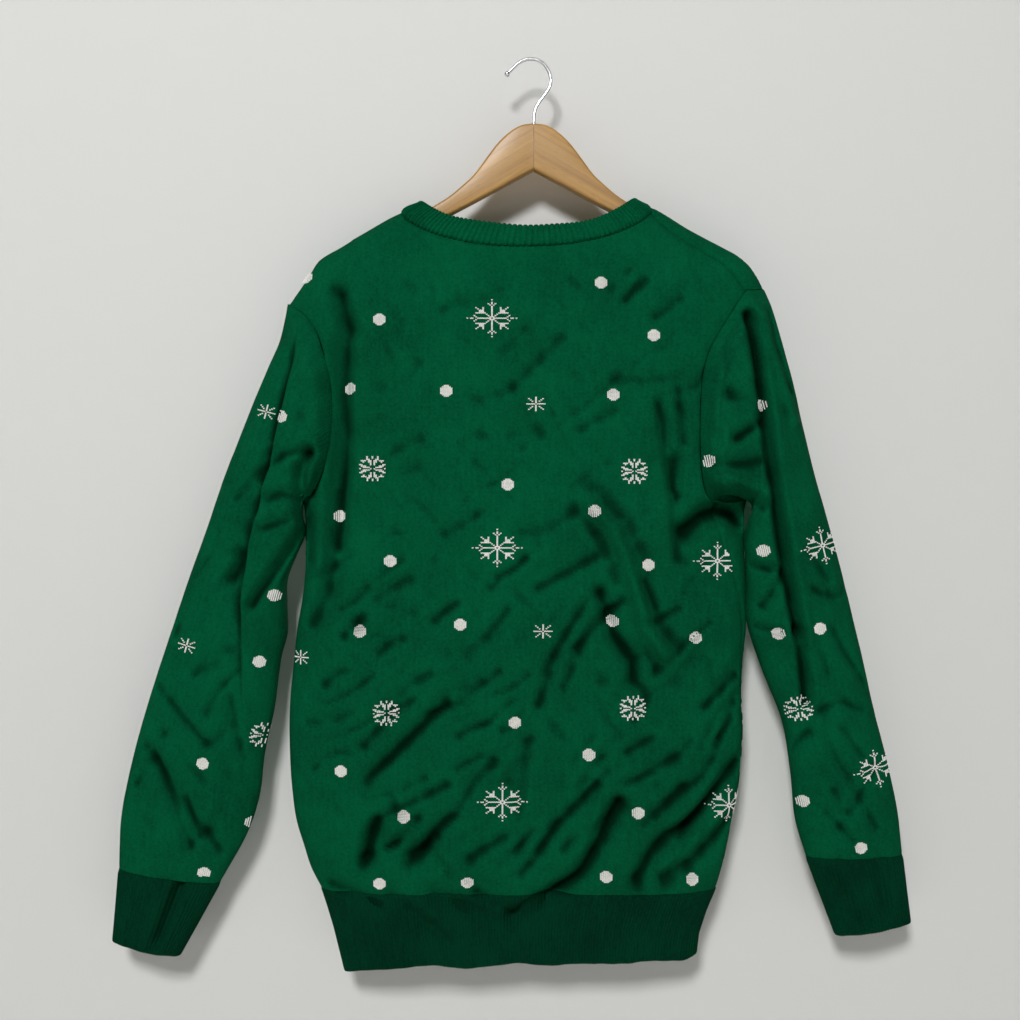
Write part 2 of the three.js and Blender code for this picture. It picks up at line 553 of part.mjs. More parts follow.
function collarGeometry(backGrid, frontGrid) {
  const ribs = 92;
  const lower = [];
  const upper = [];
  for (let k = 0; k < 2 * ribs; k += 1) {
    const angle = (Math.PI * k) / ribs;
    const side = k < ribs ? -1 : 1;
    const turn = k < ribs ? k / ribs : 2 - k / ribs;
    const across = (1 - Math.cos(angle)) / 2;
    lower.push(neckEdgeAt(side < 0 ? backGrid : frontGrid, turn));
    const x = mix(COLLAR.left, COLLAR.right, across);
    const frontZ = mix(COLLAR.leftZ, COLLAR.rightZ, across)
      - COLLAR.frontDip * dipShape(2 * across - 1, 1);
    const y = side * COLLAR.halfDepth * Math.abs(Math.sin(angle)) ** 0.35;
    upper.push(new THREE.Vector3(x, y, side < 0 ? collarTopZ(x) : frontZ));
  }
  const outward = lower.map(({ outer, inner }) => outer.clone().sub(inner).normalize());
  const upperNormals = upper.map((point, k) => {
    const count = upper.length;
    const along = upper[(k + 1) % count].clone().sub(upper[(k + count - 1) % count]);
    const normal = along.cross(point.clone().sub(lower[k].outer)).normalize();
    return normal.dot(outward[k]) < 0 ? normal.negate() : normal;
  });
  return wallGeometry([
    lower,
    upper.map((point, k) => ({
      outer: point.clone().addScaledVector(upperNormals[k], ribAt(k)),
      inner: point.clone().addScaledVector(upperNormals[k], -COLLAR_WALL),
    })),
  ], true);
}

// The hanger: two halves of one wooden outline, meeting at its middle, and a wire hook.
const HANGER_TOP = table('x z', [
  [0, -59.5], [12, -61.5], [23, -68], [34, -78.5], [45, -93], [55, -106.5], [66, -117],
  [78, -127], [93, -136.5], [118, -151.5], [144, -165.5], [176, -183], [188, -190], [196, -196.5],
]);
const HANGER_TIP = [[201.5, -202], [201, -209], [196, -213]];
const HANGER_UNDER = [[186, -211.5], [150, -189], [93, -153], [46, -127.5], [0, -102.5]];

function hangerHalf(way) {
  const inset = HANGER_BEVEL;
  const top = smooth(HANGER_TOP, 'x', 'z');
  const start = HANGER_JOINT_GAP / 2;
  const xs = [start, 12, 23, 34, 45, 55, 66, 78, 93, 118, 144, 176, 188, 196];
  const outline = [...xs.map((x) => [x, top(x)]), ...HANGER_TIP, ...HANGER_UNDER];
  outline[outline.length - 1] = [start, HANGER_UNDER[HANGER_UNDER.length - 1][1]];
  const shape = new THREE.Shape(insetOutline(outline, inset).map(([x, z]) => new THREE.Vector2(x, z)));
  const geometry = new THREE.ExtrudeGeometry(shape, {
    depth: HANGER_THICKNESS - 2 * inset, bevelThickness: inset, bevelSize: inset, bevelSegments: 2, steps: 1,
  });
  geometry.rotateX(Math.PI / 2);
  geometry.translate(0, HANGER_THICKNESS / 2 - inset, 0);
  if (way > 0) return geometry;
  geometry.applyMatrix4(new THREE.Matrix4().makeScale(-1, 1, 1));
  return turnInsideOut(geometry);
}

/** An outline drawn in by a distance, each corner along its own bisector. */
function insetOutline(points, distance) {
  const count = points.length;
  return points.map(([x, z], i) => {
    const before = points[(i + count - 1) % count];
    const after = points[(i + 1) % count];
    const one = new THREE.Vector2(x - before[0], z - before[1]).normalize();
    const two = new THREE.Vector2(after[0] - x, after[1] - z).normalize();
    const normal = new THREE.Vector2(one.y + two.y, -one.x - two.x).normalize();
    const stretch = distance / Math.max(normal.dot(new THREE.Vector2(one.y, -one.x)), 0.5);
    return [x + normal.x * stretch, z + normal.y * stretch];
  });
}

function turnInsideOut(geometry) {
  const turned = geometry.index ? geometry.toNonIndexed() : geometry;
  const place = turned.getAttribute('position');
  for (let i = 0; i < place.count; i += 3) {
    const [a, b] = [i, i + 1].map((k) => new THREE.Vector3().fromBufferAttribute(place, k));
    place.setXYZ(i, b.x, b.y, b.z);
    place.setXYZ(i + 1, a.x, a.y, a.z);
  }
  return turned;
}

const HOOK_LINE = [
  [-24.5, -12.5], [-20.5, -8.6], [-15.5, -3], [-9, 0.7], [-2, 1.7], [4, 0.6], [9.5, -3], [14, -9.5],
  [16.6, -17], [15.4, -25], [10.2, -32.6], [4, -40], [0.6, -47], [0, -56], [0, WIRE_SEAT_Z + 0.3],
];

function hookGeometry() {
  const line = new THREE.CatmullRomCurve3(HOOK_LINE.map(([x, z]) => new THREE.Vector3(x, 0, z)), false, 'centripetal');
  const section = new THREE.Shape();
  section.absarc(0, 0, WIRE_RADIUS, 0, 2 * Math.PI);
  const wire = new THREE.ExtrudeGeometry(section, {
    steps: 34, curveSegments: 4, bevelEnabled: false, extrudePath: line,
  });
  const ball = new THREE.SphereGeometry(BALL_RADIUS, 10, 8);
  ball.translate(HOOK_LINE[0][0], 0, HOOK_LINE[0][1]);
  return [wire, ball];
}

const wasm = await Module();
wasm.setup();

function toSolid(geometry) {
  const bare = geometry.clone();
  bare.deleteAttribute('normal');
  bare.deleteAttribute('uv');
  const merged = mergeVertices(bare, 1e-4);
  return new wasm.Manifold(new wasm.Mesh({
    numProp: 3,
    vertProperties: new Float32Array(merged.attributes.position.array),
    triVerts: new Uint32Array(merged.index.array),
  }));
}

function toGeometry(solid) {
  const mesh = solid.getMesh();
  const geometry = new THREE.BufferGeometry();
  geometry.setAttribute('position', new THREE.BufferAttribute(new Float32Array(mesh.vertProperties), 3));
  geometry.setIndex(new THREE.BufferAttribute(new Uint32Array(mesh.triVerts), 1));
  return geometry;
}

/** A hanger half with half of the hook's hole in its inner end. */
function hangerGeometry(way) {
  const hole = new THREE.CylinderGeometry(WIRE_HOLE_RADIUS, WIRE_HOLE_RADIUS, 30, 16);
  hole.rotateX(Math.PI / 2);
  hole.translate(0, 0, WIRE_SEAT_Z + 15);
  return toGeometry(toSolid(hangerHalf(way)).subtract(toSolid(hole)));
}

const knit = new THREE.MeshStandardMaterial({ color: 0x006a40, roughness: 0.92, metalness: 0 });
const rib = new THREE.MeshStandardMaterial({ color: 0x005c38, roughness: 0.92, metalness: 0 });
const beech = new THREE.MeshStandardMaterial({ color: 0xc9a56b, roughness: 0.35, metalness: 0 });
const wire = new THREE.MeshStandardMaterial({ color: 0xb9bbbd, roughness: 0.25, metalness: 1 });

const jumper = new THREE.Group();
jumper.name = 'jumper';
const hanger = new THREE.Group();
hanger.name = 'hanger';

function place(group, name, geometry, material) {
  const mesh = new THREE.Mesh(geometry, material);
  mesh.name = name;
  group.add(mesh);
}

const backGrid = panelGrid(-1);
const frontGrid = panelGrid(1);
place(jumper, 'body_back', wallGeometry(backGrid, false), knit);
place(jumper, 'body_front', wallGeometry(frontGrid, false), knit);
place(jumper, 'sleeve_left', sleeveGeometry(LEFT_SLEEVE, LEFT_SEAM, leftFold, LEFT_ANGLES, -1), knit);
place(jumper, 'sleeve_right', sleeveGeometry(RIGHT_SLEEVE, RIGHT_SEAM, rightFold, RIGHT_ANGLES, 1), knit);
place(jumper, 'cuff_left', cuffGeometry(LEFT_SLEEVE, LEFT_CUFF), rib);
place(jumper, 'cuff_right', cuffGeometry(RIGHT_SLEEVE, RIGHT_CUFF), rib);
place(jumper, 'hem_rib', hemGeometry(), rib);
place(jumper, 'neck_rib', collarGeometry(backGrid, frontGrid), rib);
place(hanger, 'hanger_left', hangerGeometry(-1), beech);
place(hanger, 'hanger_right', hangerGeometry(1), beech);
const [hookWire, hookBall] = hookGeometry();
place(hanger, 'hanger_hook', toGeometry(toSolid(hookWire).add(toSolid(hookBall))), wire);

const part = new THREE.Group();
part.add(jumper, hanger);
export default part;
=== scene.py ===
"""A crew neck jumper in fine green knit, seen from its back, on a wooden coat hanger.

Metres, +Z up, the garment's back faces -Y and the origin is inside the top of the hook.
Cloth is worked out in millimetres and made into metres when its mesh is built.
"""

import logging
import math
from dataclasses import dataclass, field
from enum import Enum

import bmesh
import bpy
import numpy as np
from mathutils import Matrix, Vector

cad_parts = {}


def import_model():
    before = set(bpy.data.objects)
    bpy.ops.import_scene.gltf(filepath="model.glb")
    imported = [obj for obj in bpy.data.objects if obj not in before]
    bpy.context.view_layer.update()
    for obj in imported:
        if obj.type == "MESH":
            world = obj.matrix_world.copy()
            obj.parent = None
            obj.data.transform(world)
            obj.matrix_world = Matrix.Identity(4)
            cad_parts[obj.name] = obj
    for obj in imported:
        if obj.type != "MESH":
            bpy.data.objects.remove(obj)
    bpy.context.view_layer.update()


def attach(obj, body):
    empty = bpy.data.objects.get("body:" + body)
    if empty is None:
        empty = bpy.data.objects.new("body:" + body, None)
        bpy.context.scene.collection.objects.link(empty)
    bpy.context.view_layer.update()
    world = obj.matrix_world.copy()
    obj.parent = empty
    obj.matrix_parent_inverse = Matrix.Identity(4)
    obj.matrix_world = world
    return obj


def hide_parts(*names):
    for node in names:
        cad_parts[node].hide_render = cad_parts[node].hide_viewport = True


LOG = logging.getLogger("jumper")
MM = 0.001

# The photograph's frame, in pixels and millimetres.
PHOTO_WIDTH = 1020
PHOTO_ORIGIN = (534, 61)      # the pixel of the frame's origin
PHOTO_MM = 0.93               # millimetres a pixel in the plane of the hanger
CAMERA_X, CAMERA_Z = -22, -418
CAMERA_DISTANCE = 1100
FACE_DEPTH = 25               # how far the cloth that shows lies in front of the hanger's plane

# The garment, in millimetres, as the solids have it.
WALL = 1.8
BODY_DEPTH = 25
TOP_REACH = 110
SIDE_REACH = 80
TOP_ROUND = BODY_DEPTH ** 2 / TOP_REACH
SIDE_ROUND = BODY_DEPTH ** 2 / SIDE_REACH
BODY_SEAM_Z = -768
SEAM_GAP = 0.3
SEAM_SINK = 0.9               # how far a sewn edge is drawn in
TOP_SINK = 1.9                # the same at the neck and shoulders
RIB_SINK = 0.25               # and where a rib is knitted on
SEAM_WIDTH = 2.2
WALE = 1.6                    # the knit's column width
COURSE = 1.2                  # and its row height
HOLLOW_LEAST = 1.1            # how deep a crease is where the shade painted into its colour starts
HOLLOW_DEPTH = 14.0           # and how much deeper where that painted shade is darkest
HOLLOW_REACHES = (2, 4, 7)    # over how many grid steps a place is held against the cloth round it
FOLD_STRENGTH = 1.3           # how much deeper the large folds are than their tables say
CREASE_STRENGTH = 1.5         # the same for the creases
CREASE_SPREAD = 1.1           # and how much wider they are
LIP_HEIGHT = 0.35             # the raised lips beside a fold, as a share of its depth
LIP_REACH = 2.4               # and of its width
STITCH_LIFT = 0.35            # how far the middle of a white stitch stands off the cloth


class Side(Enum):
    """A face of the body: the sign of its y."""

    BACK = -1
    FRONT = 1


# Curves and tables


class Smooth:
    """A smooth curve through pairs of numbers."""

    def __init__(self, pairs: list[tuple[float, float]]) -> None:
        """Keeps the pairs in order with a slope at each.

        Args:
            pairs: places and values.
        """
        ordered = np.array(sorted(pairs), dtype=float)
        self.at, self.value = ordered[:, 0], ordered[:, 1]
        count = len(self.at)
        before = np.maximum(np.arange(count) - 1, 0)
        after = np.minimum(np.arange(count) + 1, count - 1)
        self.slope = (self.value[after] - self.value[before]) / (self.at[after] - self.at[before])

    def __call__(self, x: np.ndarray | float) -> np.ndarray:
        """Reads the curve.

        Args:
            x: one place or many.

        Returns:
            The values there, in a straight line past the ends.
        """
        x = np.asarray(x, dtype=float)
        i = np.clip(np.searchsorted(self.at, x) - 1, 0, len(self.at) - 2)
        span = self.at[i + 1] - self.at[i]
        t = np.clip((x - self.at[i]) / span, 0, 1)
        inside = ((2 * t ** 3 - 3 * t ** 2 + 1) * self.value[i]
                  + (t ** 3 - 2 * t ** 2 + t) * span * self.slope[i]
                  + (3 * t ** 2 - 2 * t ** 3) * self.value[i + 1]
                  + (t ** 3 - t ** 2) * span * self.slope[i + 1])
        low = np.minimum(x - self.at[0], 0) * self.slope[0]
        high = np.maximum(x - self.at[-1], 0) * self.slope[-1]
        return inside + low + high


class Route:
    """A smooth route through points of a plane, read by the fraction of its length."""

    def __init__(self, points: list[tuple[float, float]]) -> None:
        """Measures the route.

        Args:
            points: its points.
        """
        place = np.array(points, dtype=float)
        run = np.concatenate([[0], np.cumsum(np.hypot(*np.diff(place, axis=0).T))])
        self.length = run[-1]
        self.a = Smooth(list(zip(run, place[:, 0])))
        self.b = Smooth(list(zip(run, place[:, 1])))

    def __call__(self, t: np.ndarray | float) -> tuple[np.ndarray, np.ndarray]:
        """The two coordinates at the fraction t."""
        run = np.asarray(t, dtype=float) * self.length
        return self.a(run), self.b(run)


def columns(heading: str, rows: list[tuple[float, ...]]) -> dict[str, Smooth]:
    """Smooth curves of a table's columns over its first column.

    Args:
        heading: the column names, the first being the key.
        rows: the table's rows.

    Returns:
        A curve for each column but the first.
    """
    names = heading.split()
    return {name: Smooth([(row[0], row[i]) for row in rows]) for i, name in enumerate(names) if i > 0}


def mix(a: float, b: float, t: float) -> float:
    """The value a fraction t of the way from a to b."""
    return a + (b - a) * t


def ease(t: np.ndarray | float) -> np.ndarray:
    """A soft step from 0 to 1."""
    t = np.clip(t, 0, 1)
    return t * t * (3 - 2 * t)


def bulge(t: np.ndarray | float) -> np.ndarray:
    """A quarter round from 0 to 1."""
    t = np.clip(t, 0, 1)
    return np.sqrt(1 - (1 - t) ** 2)


def unit(vectors: np.ndarray) -> np.ndarray:
    """Vectors made one long."""
    return vectors / np.maximum(np.linalg.norm(vectors, axis=-1, keepdims=True), 1e-9)


def from_photo(px: float, py: float, depth: float = FACE_DEPTH) -> tuple[float, float]:
    """The place on the garment that a pixel of the photograph shows.

    Args:
        px: pixels from the left.
        py: pixels from the top.
        depth: how far in front of the hanger's plane the place lies.

    Returns:
        Its x and z in millimetres.
    """
    nearer = (CAMERA_DISTANCE - depth) / CAMERA_DISTANCE
    x = (px - PHOTO_ORIGIN[0]) * PHOTO_MM
    z = -(py - PHOTO_ORIGIN[1]) * PHOTO_MM
    return CAMERA_X + (x - CAMERA_X) * nearer, CAMERA_Z + (z - CAMERA_Z) * nearer


@dataclass(frozen=True)
class Fold:
    """A fold in the cloth: its path in x and z, how deep it is (a ridge is below 0) and how wide."""

    path: tuple[tuple[float, float], ...]
    depth: float
    width: float

    def push(self, x: np.ndarray, z: np.ndarray) -> np.ndarray:
        """How far the fold pushes the cloth in at each place.

        Args:
            x: places across.
            z: places up.

        Returns:
            Millimetres inwards.
        """
        nearest = np.full(np.shape(x), np.inf)
        for (ax, az), (bx, bz) in zip(self.path, self.path[1:]):
            run_x, run_z = bx - ax, bz - az
            t = np.clip(((x - ax) * run_x + (z - az) * run_z) / (run_x ** 2 + run_z ** 2), 0, 1)
            nearest = np.minimum(nearest, np.hypot(x - mix(ax, bx, t), z - mix(az, bz, t)))
        valley = np.exp(-((nearest / self.width) ** 2))
        lips = np.exp(-((nearest / self.width / LIP_REACH) ** 2))
        return self.depth * ((1 + LIP_HEIGHT) * valley - LIP_HEIGHT * lips)


def folds(rows: list[tuple]) -> list[Fold]:
    """Folds from rows of a path in millimetres, a depth and a width."""
    return [Fold(tuple(path), depth * FOLD_STRENGTH, width) for path, depth, width in rows]


def creases(rows: list[tuple]) -> list[Fold]:
    """Folds from rows of a depth, a width and a path in pixels of the photograph.

    Args:
        rows: each a depth, a width and then the path's pixel places.

    Returns:
        The folds in millimetres.
    """
    return [Fold(tuple(from_photo(*place) for place in path), depth * CREASE_STRENGTH, width * CREASE_SPREAD)
            for depth, width, *path in rows]


# The large folds, which the solids have too.
BACK_FOLDS = folds([
    ([(-179, -218), (-171, -251), (-176, -310), (-173, -346), (-177, -399), (-187, -491),
      (-201, -522)], 6, 10),
    ([(-195, -320), (-195, -470)], -4, 10),
    ([(132, -371), (137, -464)], 4, 9),
    ([(52, -415), (74, -434), (89, -476), (102, -524), (121, -552)], -5, 10),
    ([(62, -495), (74, -533), (91, -557), (93, -577)], 4, 9),
    ([(-81, -598), (-127, -643), (-149, -664)], 3, 9),
    ([(-145, -710), (-155, -739)], 5, 9),
    ([(-111, -739), (-94, -726)], 5, 9),
    ([(79, -689), (68, -715), (48, -750), (-18, -792)], 6, 10),
    ([(192, -655), (173, -673), (154, -698), (124, -719), (108, -738), (96, -760)], 5, 9),
    ([(182, -710), (148, -744), (119, -759)], 5, 9),
    ([(-89, -770), (-23, -797)], 4, 9),
])
FRONT_FOLDS = folds([
    ([(-165, -250), (-172, -340), (-180, -450)], 5, 11),
    ([(150, -260), (158, -360), (150, -470)], 5, 11),
    ([(-60, -430), (-90, -520), (-130, -610)], 4, 12),
    ([(70, -480), (40, -590), (50, -700)], -4, 12),
    ([(150, -640), (90, -710), (30, -750)], 5, 11),
])


def scattered(seed: int, count: int, area: tuple[float, float, float, float], lean: tuple[float, float],
              depth: tuple[float, float]) -> list[Fold]:
    """Small creases strewn over an area of the photograph, all leaning much the same way.

    Args:
        seed: the seed of their places.
        count: how many there are.
        area: the area's left, top, right and bottom in pixels.
        lean: degrees up from the level at the area's left and right.
        depth: the least and greatest depth.

    Returns:
        The folds in millimetres.
    """
    chance = np.random.default_rng(seed)
    left, top, right, bottom = area
    found = []
    for _ in range(count):
        px, py = chance.uniform(left, right), chance.uniform(top, bottom)
        turn = math.radians(mix(lean[0], lean[1], (px - left) / (right - left)) + chance.normal(0, 9))
        half, bend = chance.uniform(9, 34), chance.normal(0, 0.14)
        path = [from_photo(px + half * (t * math.cos(turn) - bend * t * t * math.sin(turn)),
                           py - half * (t * math.sin(turn) + bend * t * t * math.cos(turn)))
                for t in (-1, -0.33, 0.33, 1)]
        width = chance.uniform(3.2, 6.6)
        way = 1 if chance.random() < 0.7 else -0.7
        found.append(Fold(tuple(path), way * chance.uniform(*depth) * width / 2.9, width))
    return found


# The finer creases of the back, by the photograph: depth, width and the path in pixels.
BACK_CREASES = creases([
    (3, 5, (342, 295), (350, 331), (345, 395), (348, 433), (344, 490), (339, 548)),
    (-1.5, 5, (325, 330), (327, 480)),
    (3.5, 5, (660, 403), (673, 490)), (3, 4.5, (680, 390), (685, 443)), (3, 5, (676, 460), (676, 560)),
    (-3.5, 7, (590, 507), (613, 528), (630, 573), (644, 624), (664, 654)),
    (4, 6, (601, 593), (613, 634), (632, 660), (634, 681)),
    (2.2, 5, (627, 300), (647, 280)), (2.2, 5, (657, 317), (680, 300)), (1.5, 6, (513, 387), (563, 337)),
    (1.5, 5, (613, 380), (680, 380)), (1.8, 5, (580, 430), (617, 410)),
    (3, 5, (587, 603), (566, 634), (554, 658), (540, 705)), (2.2, 4.5, (583, 646), (564, 689)),
    (2.4, 5, (595, 558), (538, 589)), (1.6, 5, (440, 699), (481, 681)), (2, 4, (679, 609), (648, 626)),
    (2, 4, (644, 583), (656, 609)), (3, 5, (738, 679), (705, 709)), (2.4, 4, (736, 721), (721, 740)),
    (3, 4, (717, 747), (737, 707)),
    (2.8, 5, (447, 704), (397, 752), (374, 775)), (2, 4, (473, 703), (430, 715)),
    (2, 4, (481, 757), (458, 769)), (2.5, 5, (447, 786), (406, 806), (381, 818)),
    (5, 6, (377, 823), (367, 860)), (5, 6, (413, 857), (437, 840)), (-3, 6, (439, 847), (467, 877)),
    (-2.5, 9, (395, 830), (420, 835)), (1.6, 6, (527, 740), (520, 850)), (2.4, 5, (560, 825), (522, 874)),
    (3, 5, (330, 888), (380, 907)), (2.8, 5, (598, 786), (555, 827), (540, 853)),
    (5, 6, (619, 802), (607, 830), (586, 867), (580, 877), (513, 918)),
    (-3, 7, (600, 800), (588, 830), (566, 860)),
    (2.8, 5, (675, 757), (640, 779), (626, 784)), (2, 4, (652, 738), (627, 752)),
    (4.5, 6, (740, 765), (720, 785), (700, 812), (688, 826), (667, 834), (650, 855), (637, 880)),
    (-2.5, 7, (715, 775), (690, 805), (668, 820)),
    (4, 6, (730, 825), (693, 861), (662, 877)),
    (3, 5, (477, 893), (507, 913)), (2.5, 6, (391, 895), (450, 948)),
    (11, 9, (688, 532), (703, 518), (718, 513), (732, 515), (746, 524)),
    (5, 7, (303, 520), (304, 560)),
])
BACK_CREASES += scattered(7, 84, (325, 560, 725, 872), (30, 58), (0.9, 2.1))
BACK_CREASES += scattered(11, 30, (370, 380, 700, 560), (22, 40), (0.5, 1.1))
BACK_CREASES += scattered(3, 12, (440, 270, 700, 380), (30, 50), (0.4, 0.9))
FRONT_CREASES = scattered(5, 60, (330, 420, 725, 872), (120, 150), (0.8, 2.0))
LEFT_ARM_CREASES = creases([
    (5, 5, (298, 540), (272, 576), (252, 606)), (8, 6, (312, 455), (303, 470), (303, 512), (306, 530)),
    (3, 5, (272, 466), (290, 455), (312, 452)), (2.5, 5, (268, 500), (285, 494), (300, 500)),
    (2, 4, (262, 530), (290, 520)),
    (2.2, 5, (155, 690), (205, 745)), (2.6, 6, (145, 750), (215, 855)),
    (2.6, 5, (155, 765), (177, 820), (188, 850)), (2, 4, (185, 800), (195, 840)),
    (-2, 8, (215, 760), (212, 820)), (2, 5, (228, 700), (240, 760)),
])
LEFT_ARM_CREASES += scattered(21, 20, (135, 560, 245, 850), (48, 62), (0.8, 1.8))
LEFT_ARM_CREASES += scattered(22, 10, (235, 330, 300, 540), (40, 60), (0.6, 1.4))
RIGHT_ARM_CREASES = creases([
    (11, 5.2, (748, 315), (751, 333), (754.5, 350), (759, 385), (763, 413), (767, 449), (776, 503),
     (781, 539), (787, 575), (794, 612), (799, 632)),
    (8, 4.6, (799, 632), (805, 670), (808, 702)), (3, 4.6, (745, 300), (749, 320)),
    (-6, 10, (700, 478), (735, 484), (762, 494)), (4, 5, (733, 440), (757, 425)),
    (-3, 4, (765, 316), (771, 345), (779, 368), (787, 392), (798, 422)),
    (3, 4, (771, 312), (778, 345), (786, 368), (794, 392)),
    (3.5, 5, (745, 564), (781, 573)), (3.5, 5, (765, 606), (784, 579)), (2.5, 4, (758, 628), (781, 632)),
    (2.4, 5, (820, 712), (845, 705), (865, 712)), (2, 5, (845, 770), (880, 830)),
    (2, 5, (845, 830), (880, 770)),
    (3, 5, (796, 755), (804, 742), (812, 735)), (2.4, 5, (815, 590), (835, 600), (850, 590)),
    (2.5, 5, (722, 350), (728, 400)), (2, 5, (705, 470), (760, 462)),
])
RIGHT_ARM_CREASES += scattered(31, 22, (790, 560, 890, 840), (100, 130), (0.8, 1.8))
RIGHT_ARM_CREASES += scattered(32, 8, (710, 330, 755, 500), (110, 150), (0.6, 1.4))
CUFF_CREASES = creases([(6, 5, (177, 888), (166, 915), (154, 945)), (3, 5, (880, 870), (893, 915)),
                        (3, 6, (835, 880), (868, 925))])


@dataclass(frozen=True)
class Flap:
    """A long fold that lies over its neighbour: the height and x of its edge, and how strong it is there."""

    edge: Smooth
    strength: Smooth
    foot: float = 10.0
    crest: float = 5.5
    slant: float = 0.96
    step: float = 3.6
    reach_under: float = 17
    reach_over: float = 30

    def push(self, x: np.ndarray, z: np.ndarray) -> np.ndarray:
        """How far the fold pushes the cloth in: deep on the left of the edge, raised on its right.

        Args:
            x: places across.
            z: places up.

        Returns:
            Millimetres inwards.
        """
        past = (x - self.edge(z)) * self.slant
        over = ease((past + 1.6) / self.step)
        under = (1 - over) * self.foot * np.exp(np.minimum(past, 0) / self.reach_under)
        above = over * self.crest * np.exp(-np.maximum(past, 0) / self.reach_over)
        return (under - above) * np.clip(self.strength(z), 0, 1)


FLAP_EDGE = [from_photo(*place)[::-1] for place in (
    (299, 318), (295, 359), (285, 399), (277, 433), (270, 466), (264, 485), (260, 507), (253.5, 527),
    (249, 545), (245, 571), (241, 593), (240, 609), (241, 699))]
LEFT_FLAP = Flap(Smooth(FLAP_EDGE), Smooth([
    (from_photo(240, py)[1], share) for py, share in (
        (300, 0), (318, 0.1), (370, 0.7), (430, 1), (600, 1), (640, 0.5), (700, 0.25), (740, 0), (760, 0))]))


@dataclass(frozen=True)
class SoftWrinkles:
    """Faint wrinkles on the bias all over a piece: waves at a few angles, one breaking up the next."""

    height: float = 0.4
    waves: tuple[tuple[float, float, float], ...] = (
        (21, 38, 0.3), (33, 58, 1.9), (17, 24, 4.1), (46, -22, 2.7), (27, 75, 5.2))

    def push(self, x: np.ndarray, z: np.ndarray) -> np.ndarray:
        """How far the wrinkles push the cloth in at each place.

        Args:
            x: places across.
            z: places up.

        Returns:
            Millimetres inwards.
        """
        total = np.zeros(np.shape(x))
        for length, degrees, start in self.waves:
            turn = math.radians(degrees)
            along = x * math.cos(turn) + z * math.sin(turn)
            across = z * math.cos(turn) - x * math.sin(turn)
            bend = 6 * np.sin(across / 31 + start) + 3 * np.sin(across / 13 + 2 * start)
            patches = np.sin(across / 47 + 3 * start + along / 83)
            total += np.sin(2 * np.pi * (along + bend) / length + start) * patches
        return self.height * total


WRINKLES = SoftWrinkles()


def pushed(rows: list[Fold], x: np.ndarray, z: np.ndarray) -> np.ndarray:
    """The sum of what folds push in at each place."""
    return sum((fold.push(x, z) for fold in rows), np.zeros(np.shape(x)))


# The body's form

SHOULDER_Z = Smooth([
    (-229, -227), (-217, -210), (-209, -198), (-203, -188), (-194, -180.5), (-183, -174.5), (-162, -162),
    (-123, -141), (-70, -128), (-8, -124), (60, -126), (108, -136.5), (144, -157.5), (176, -174.5),
    (188, -181), (199, -190), (206, -199.5), (216, -216)])
SIDES = columns("z left right", [
    (-140, -262, 252), (-227, -262, 250), (-300, -264, 244), (-360, -248, 226), (-390, -226, 207),
    (-412, -214, 197), (-437, -212, 195), (-470, -212, 196.5), (-500, -215, 198), (-530, -220, 197),
    (-560, -223, 194), (-590, -226, 193), (-620, -227, 194), (-655, -226, 192), (-680, -224, 189),
    (-705, -220.5, 184), (-730, -213, 179), (-750, -206.5, 174.5), (-771, -196, 168), (-790, -190, 160),
    (-805, -185.5, 154.5), (-825, -180.5, 151.5), (-845, -175.5, 150)])
FULLNESS = Smooth([(-140, 25), (-437, 25), (-620, 28), (-740, 26), (-771, 23), (-845, 19)])
SIDE_SEAM = columns("z left right", [
    (-405, 14.5, 39), (-425, 6, 36), (-450, -2, 29), (-466, -4, 22.6), (-510, -4, 12), (-560, -4, 5),
    (-620, -4, 0), (-700, -4, -3), (-771, -4, -4)])
LEFT_UNDERARM_Z = -405
RIGHT_UNDERARM_Z = -411


class BodyForm:
    """The body's outer surface.

    p and q are places on the cloth laid flat, which match x and z away from the edges and run on
    round the shoulders and sides to the other face.
    """

    def point(self, p: np.ndarray, q: np.ndarray, side: Side) -> np.ndarray:
        """Points of the surface.

        Args:
            p: places across the cloth.
            q: places up the cloth.
            side: the face that they start on.

        Returns:
            Their places, x, y and z last.
        """
        p, q = np.broadcast_arrays(np.asarray(p, float), np.asarray(q, float))
        from_ridge = SHOULDER_Z(p) + TOP_ROUND - q
        z = SHOULDER_Z(p) + TOP_ROUND - np.hypot(from_ridge, TOP_ROUND)
        left, right = SIDES["left"](z), SIDES["right"](z)
        from_left = p - left + SIDE_ROUND
        from_right = right + SIDE_ROUND - p
        x = p + np.hypot(from_left, SIDE_ROUND) - from_left - np.hypot(from_right, SIDE_ROUND) + from_right
        depth = (FULLNESS(z) * bulge((SHOULDER_Z(x) - z) / TOP_REACH)
                 * bulge((x - left) / SIDE_REACH) * bulge((right - x) / SIDE_REACH))
        face = side.value * np.sign(from_ridge) * np.sign(from_left) * np.sign(from_right)
        back = pushed(BACK_FOLDS + BACK_CREASES, x, z) + WRINKLES.push(x, z)
        front = pushed(FRONT_FOLDS + FRONT_CREASES, x, z) + WRINKLES.push(-x, z)
        fold = np.where(face < 0, back, front) * np.clip(depth / 8 - 0.5, 0, 1)
        return np.stack([x, face * (depth - fold), z], axis=-1)

    def frame(self, p: np.ndarray, q: np.ndarray, side: Side, step: float = 0.6) -> tuple[np.ndarray, ...]:
        """The directions across, up and out of the cloth.

        Args:
            p: places across the cloth.
            q: places up the cloth.
            side: the face that they start on.
            step: how far apart the points for it are taken.

        Returns:
            Three arrays of directions.
        """
        across = unit(self.point(p + step, q, side) - self.point(p - step, q, side))
        up = unit(self.point(p, q + step, side) - self.point(p, q - step, side))
        return across, up, unit(np.cross(across, up) * -side.value)


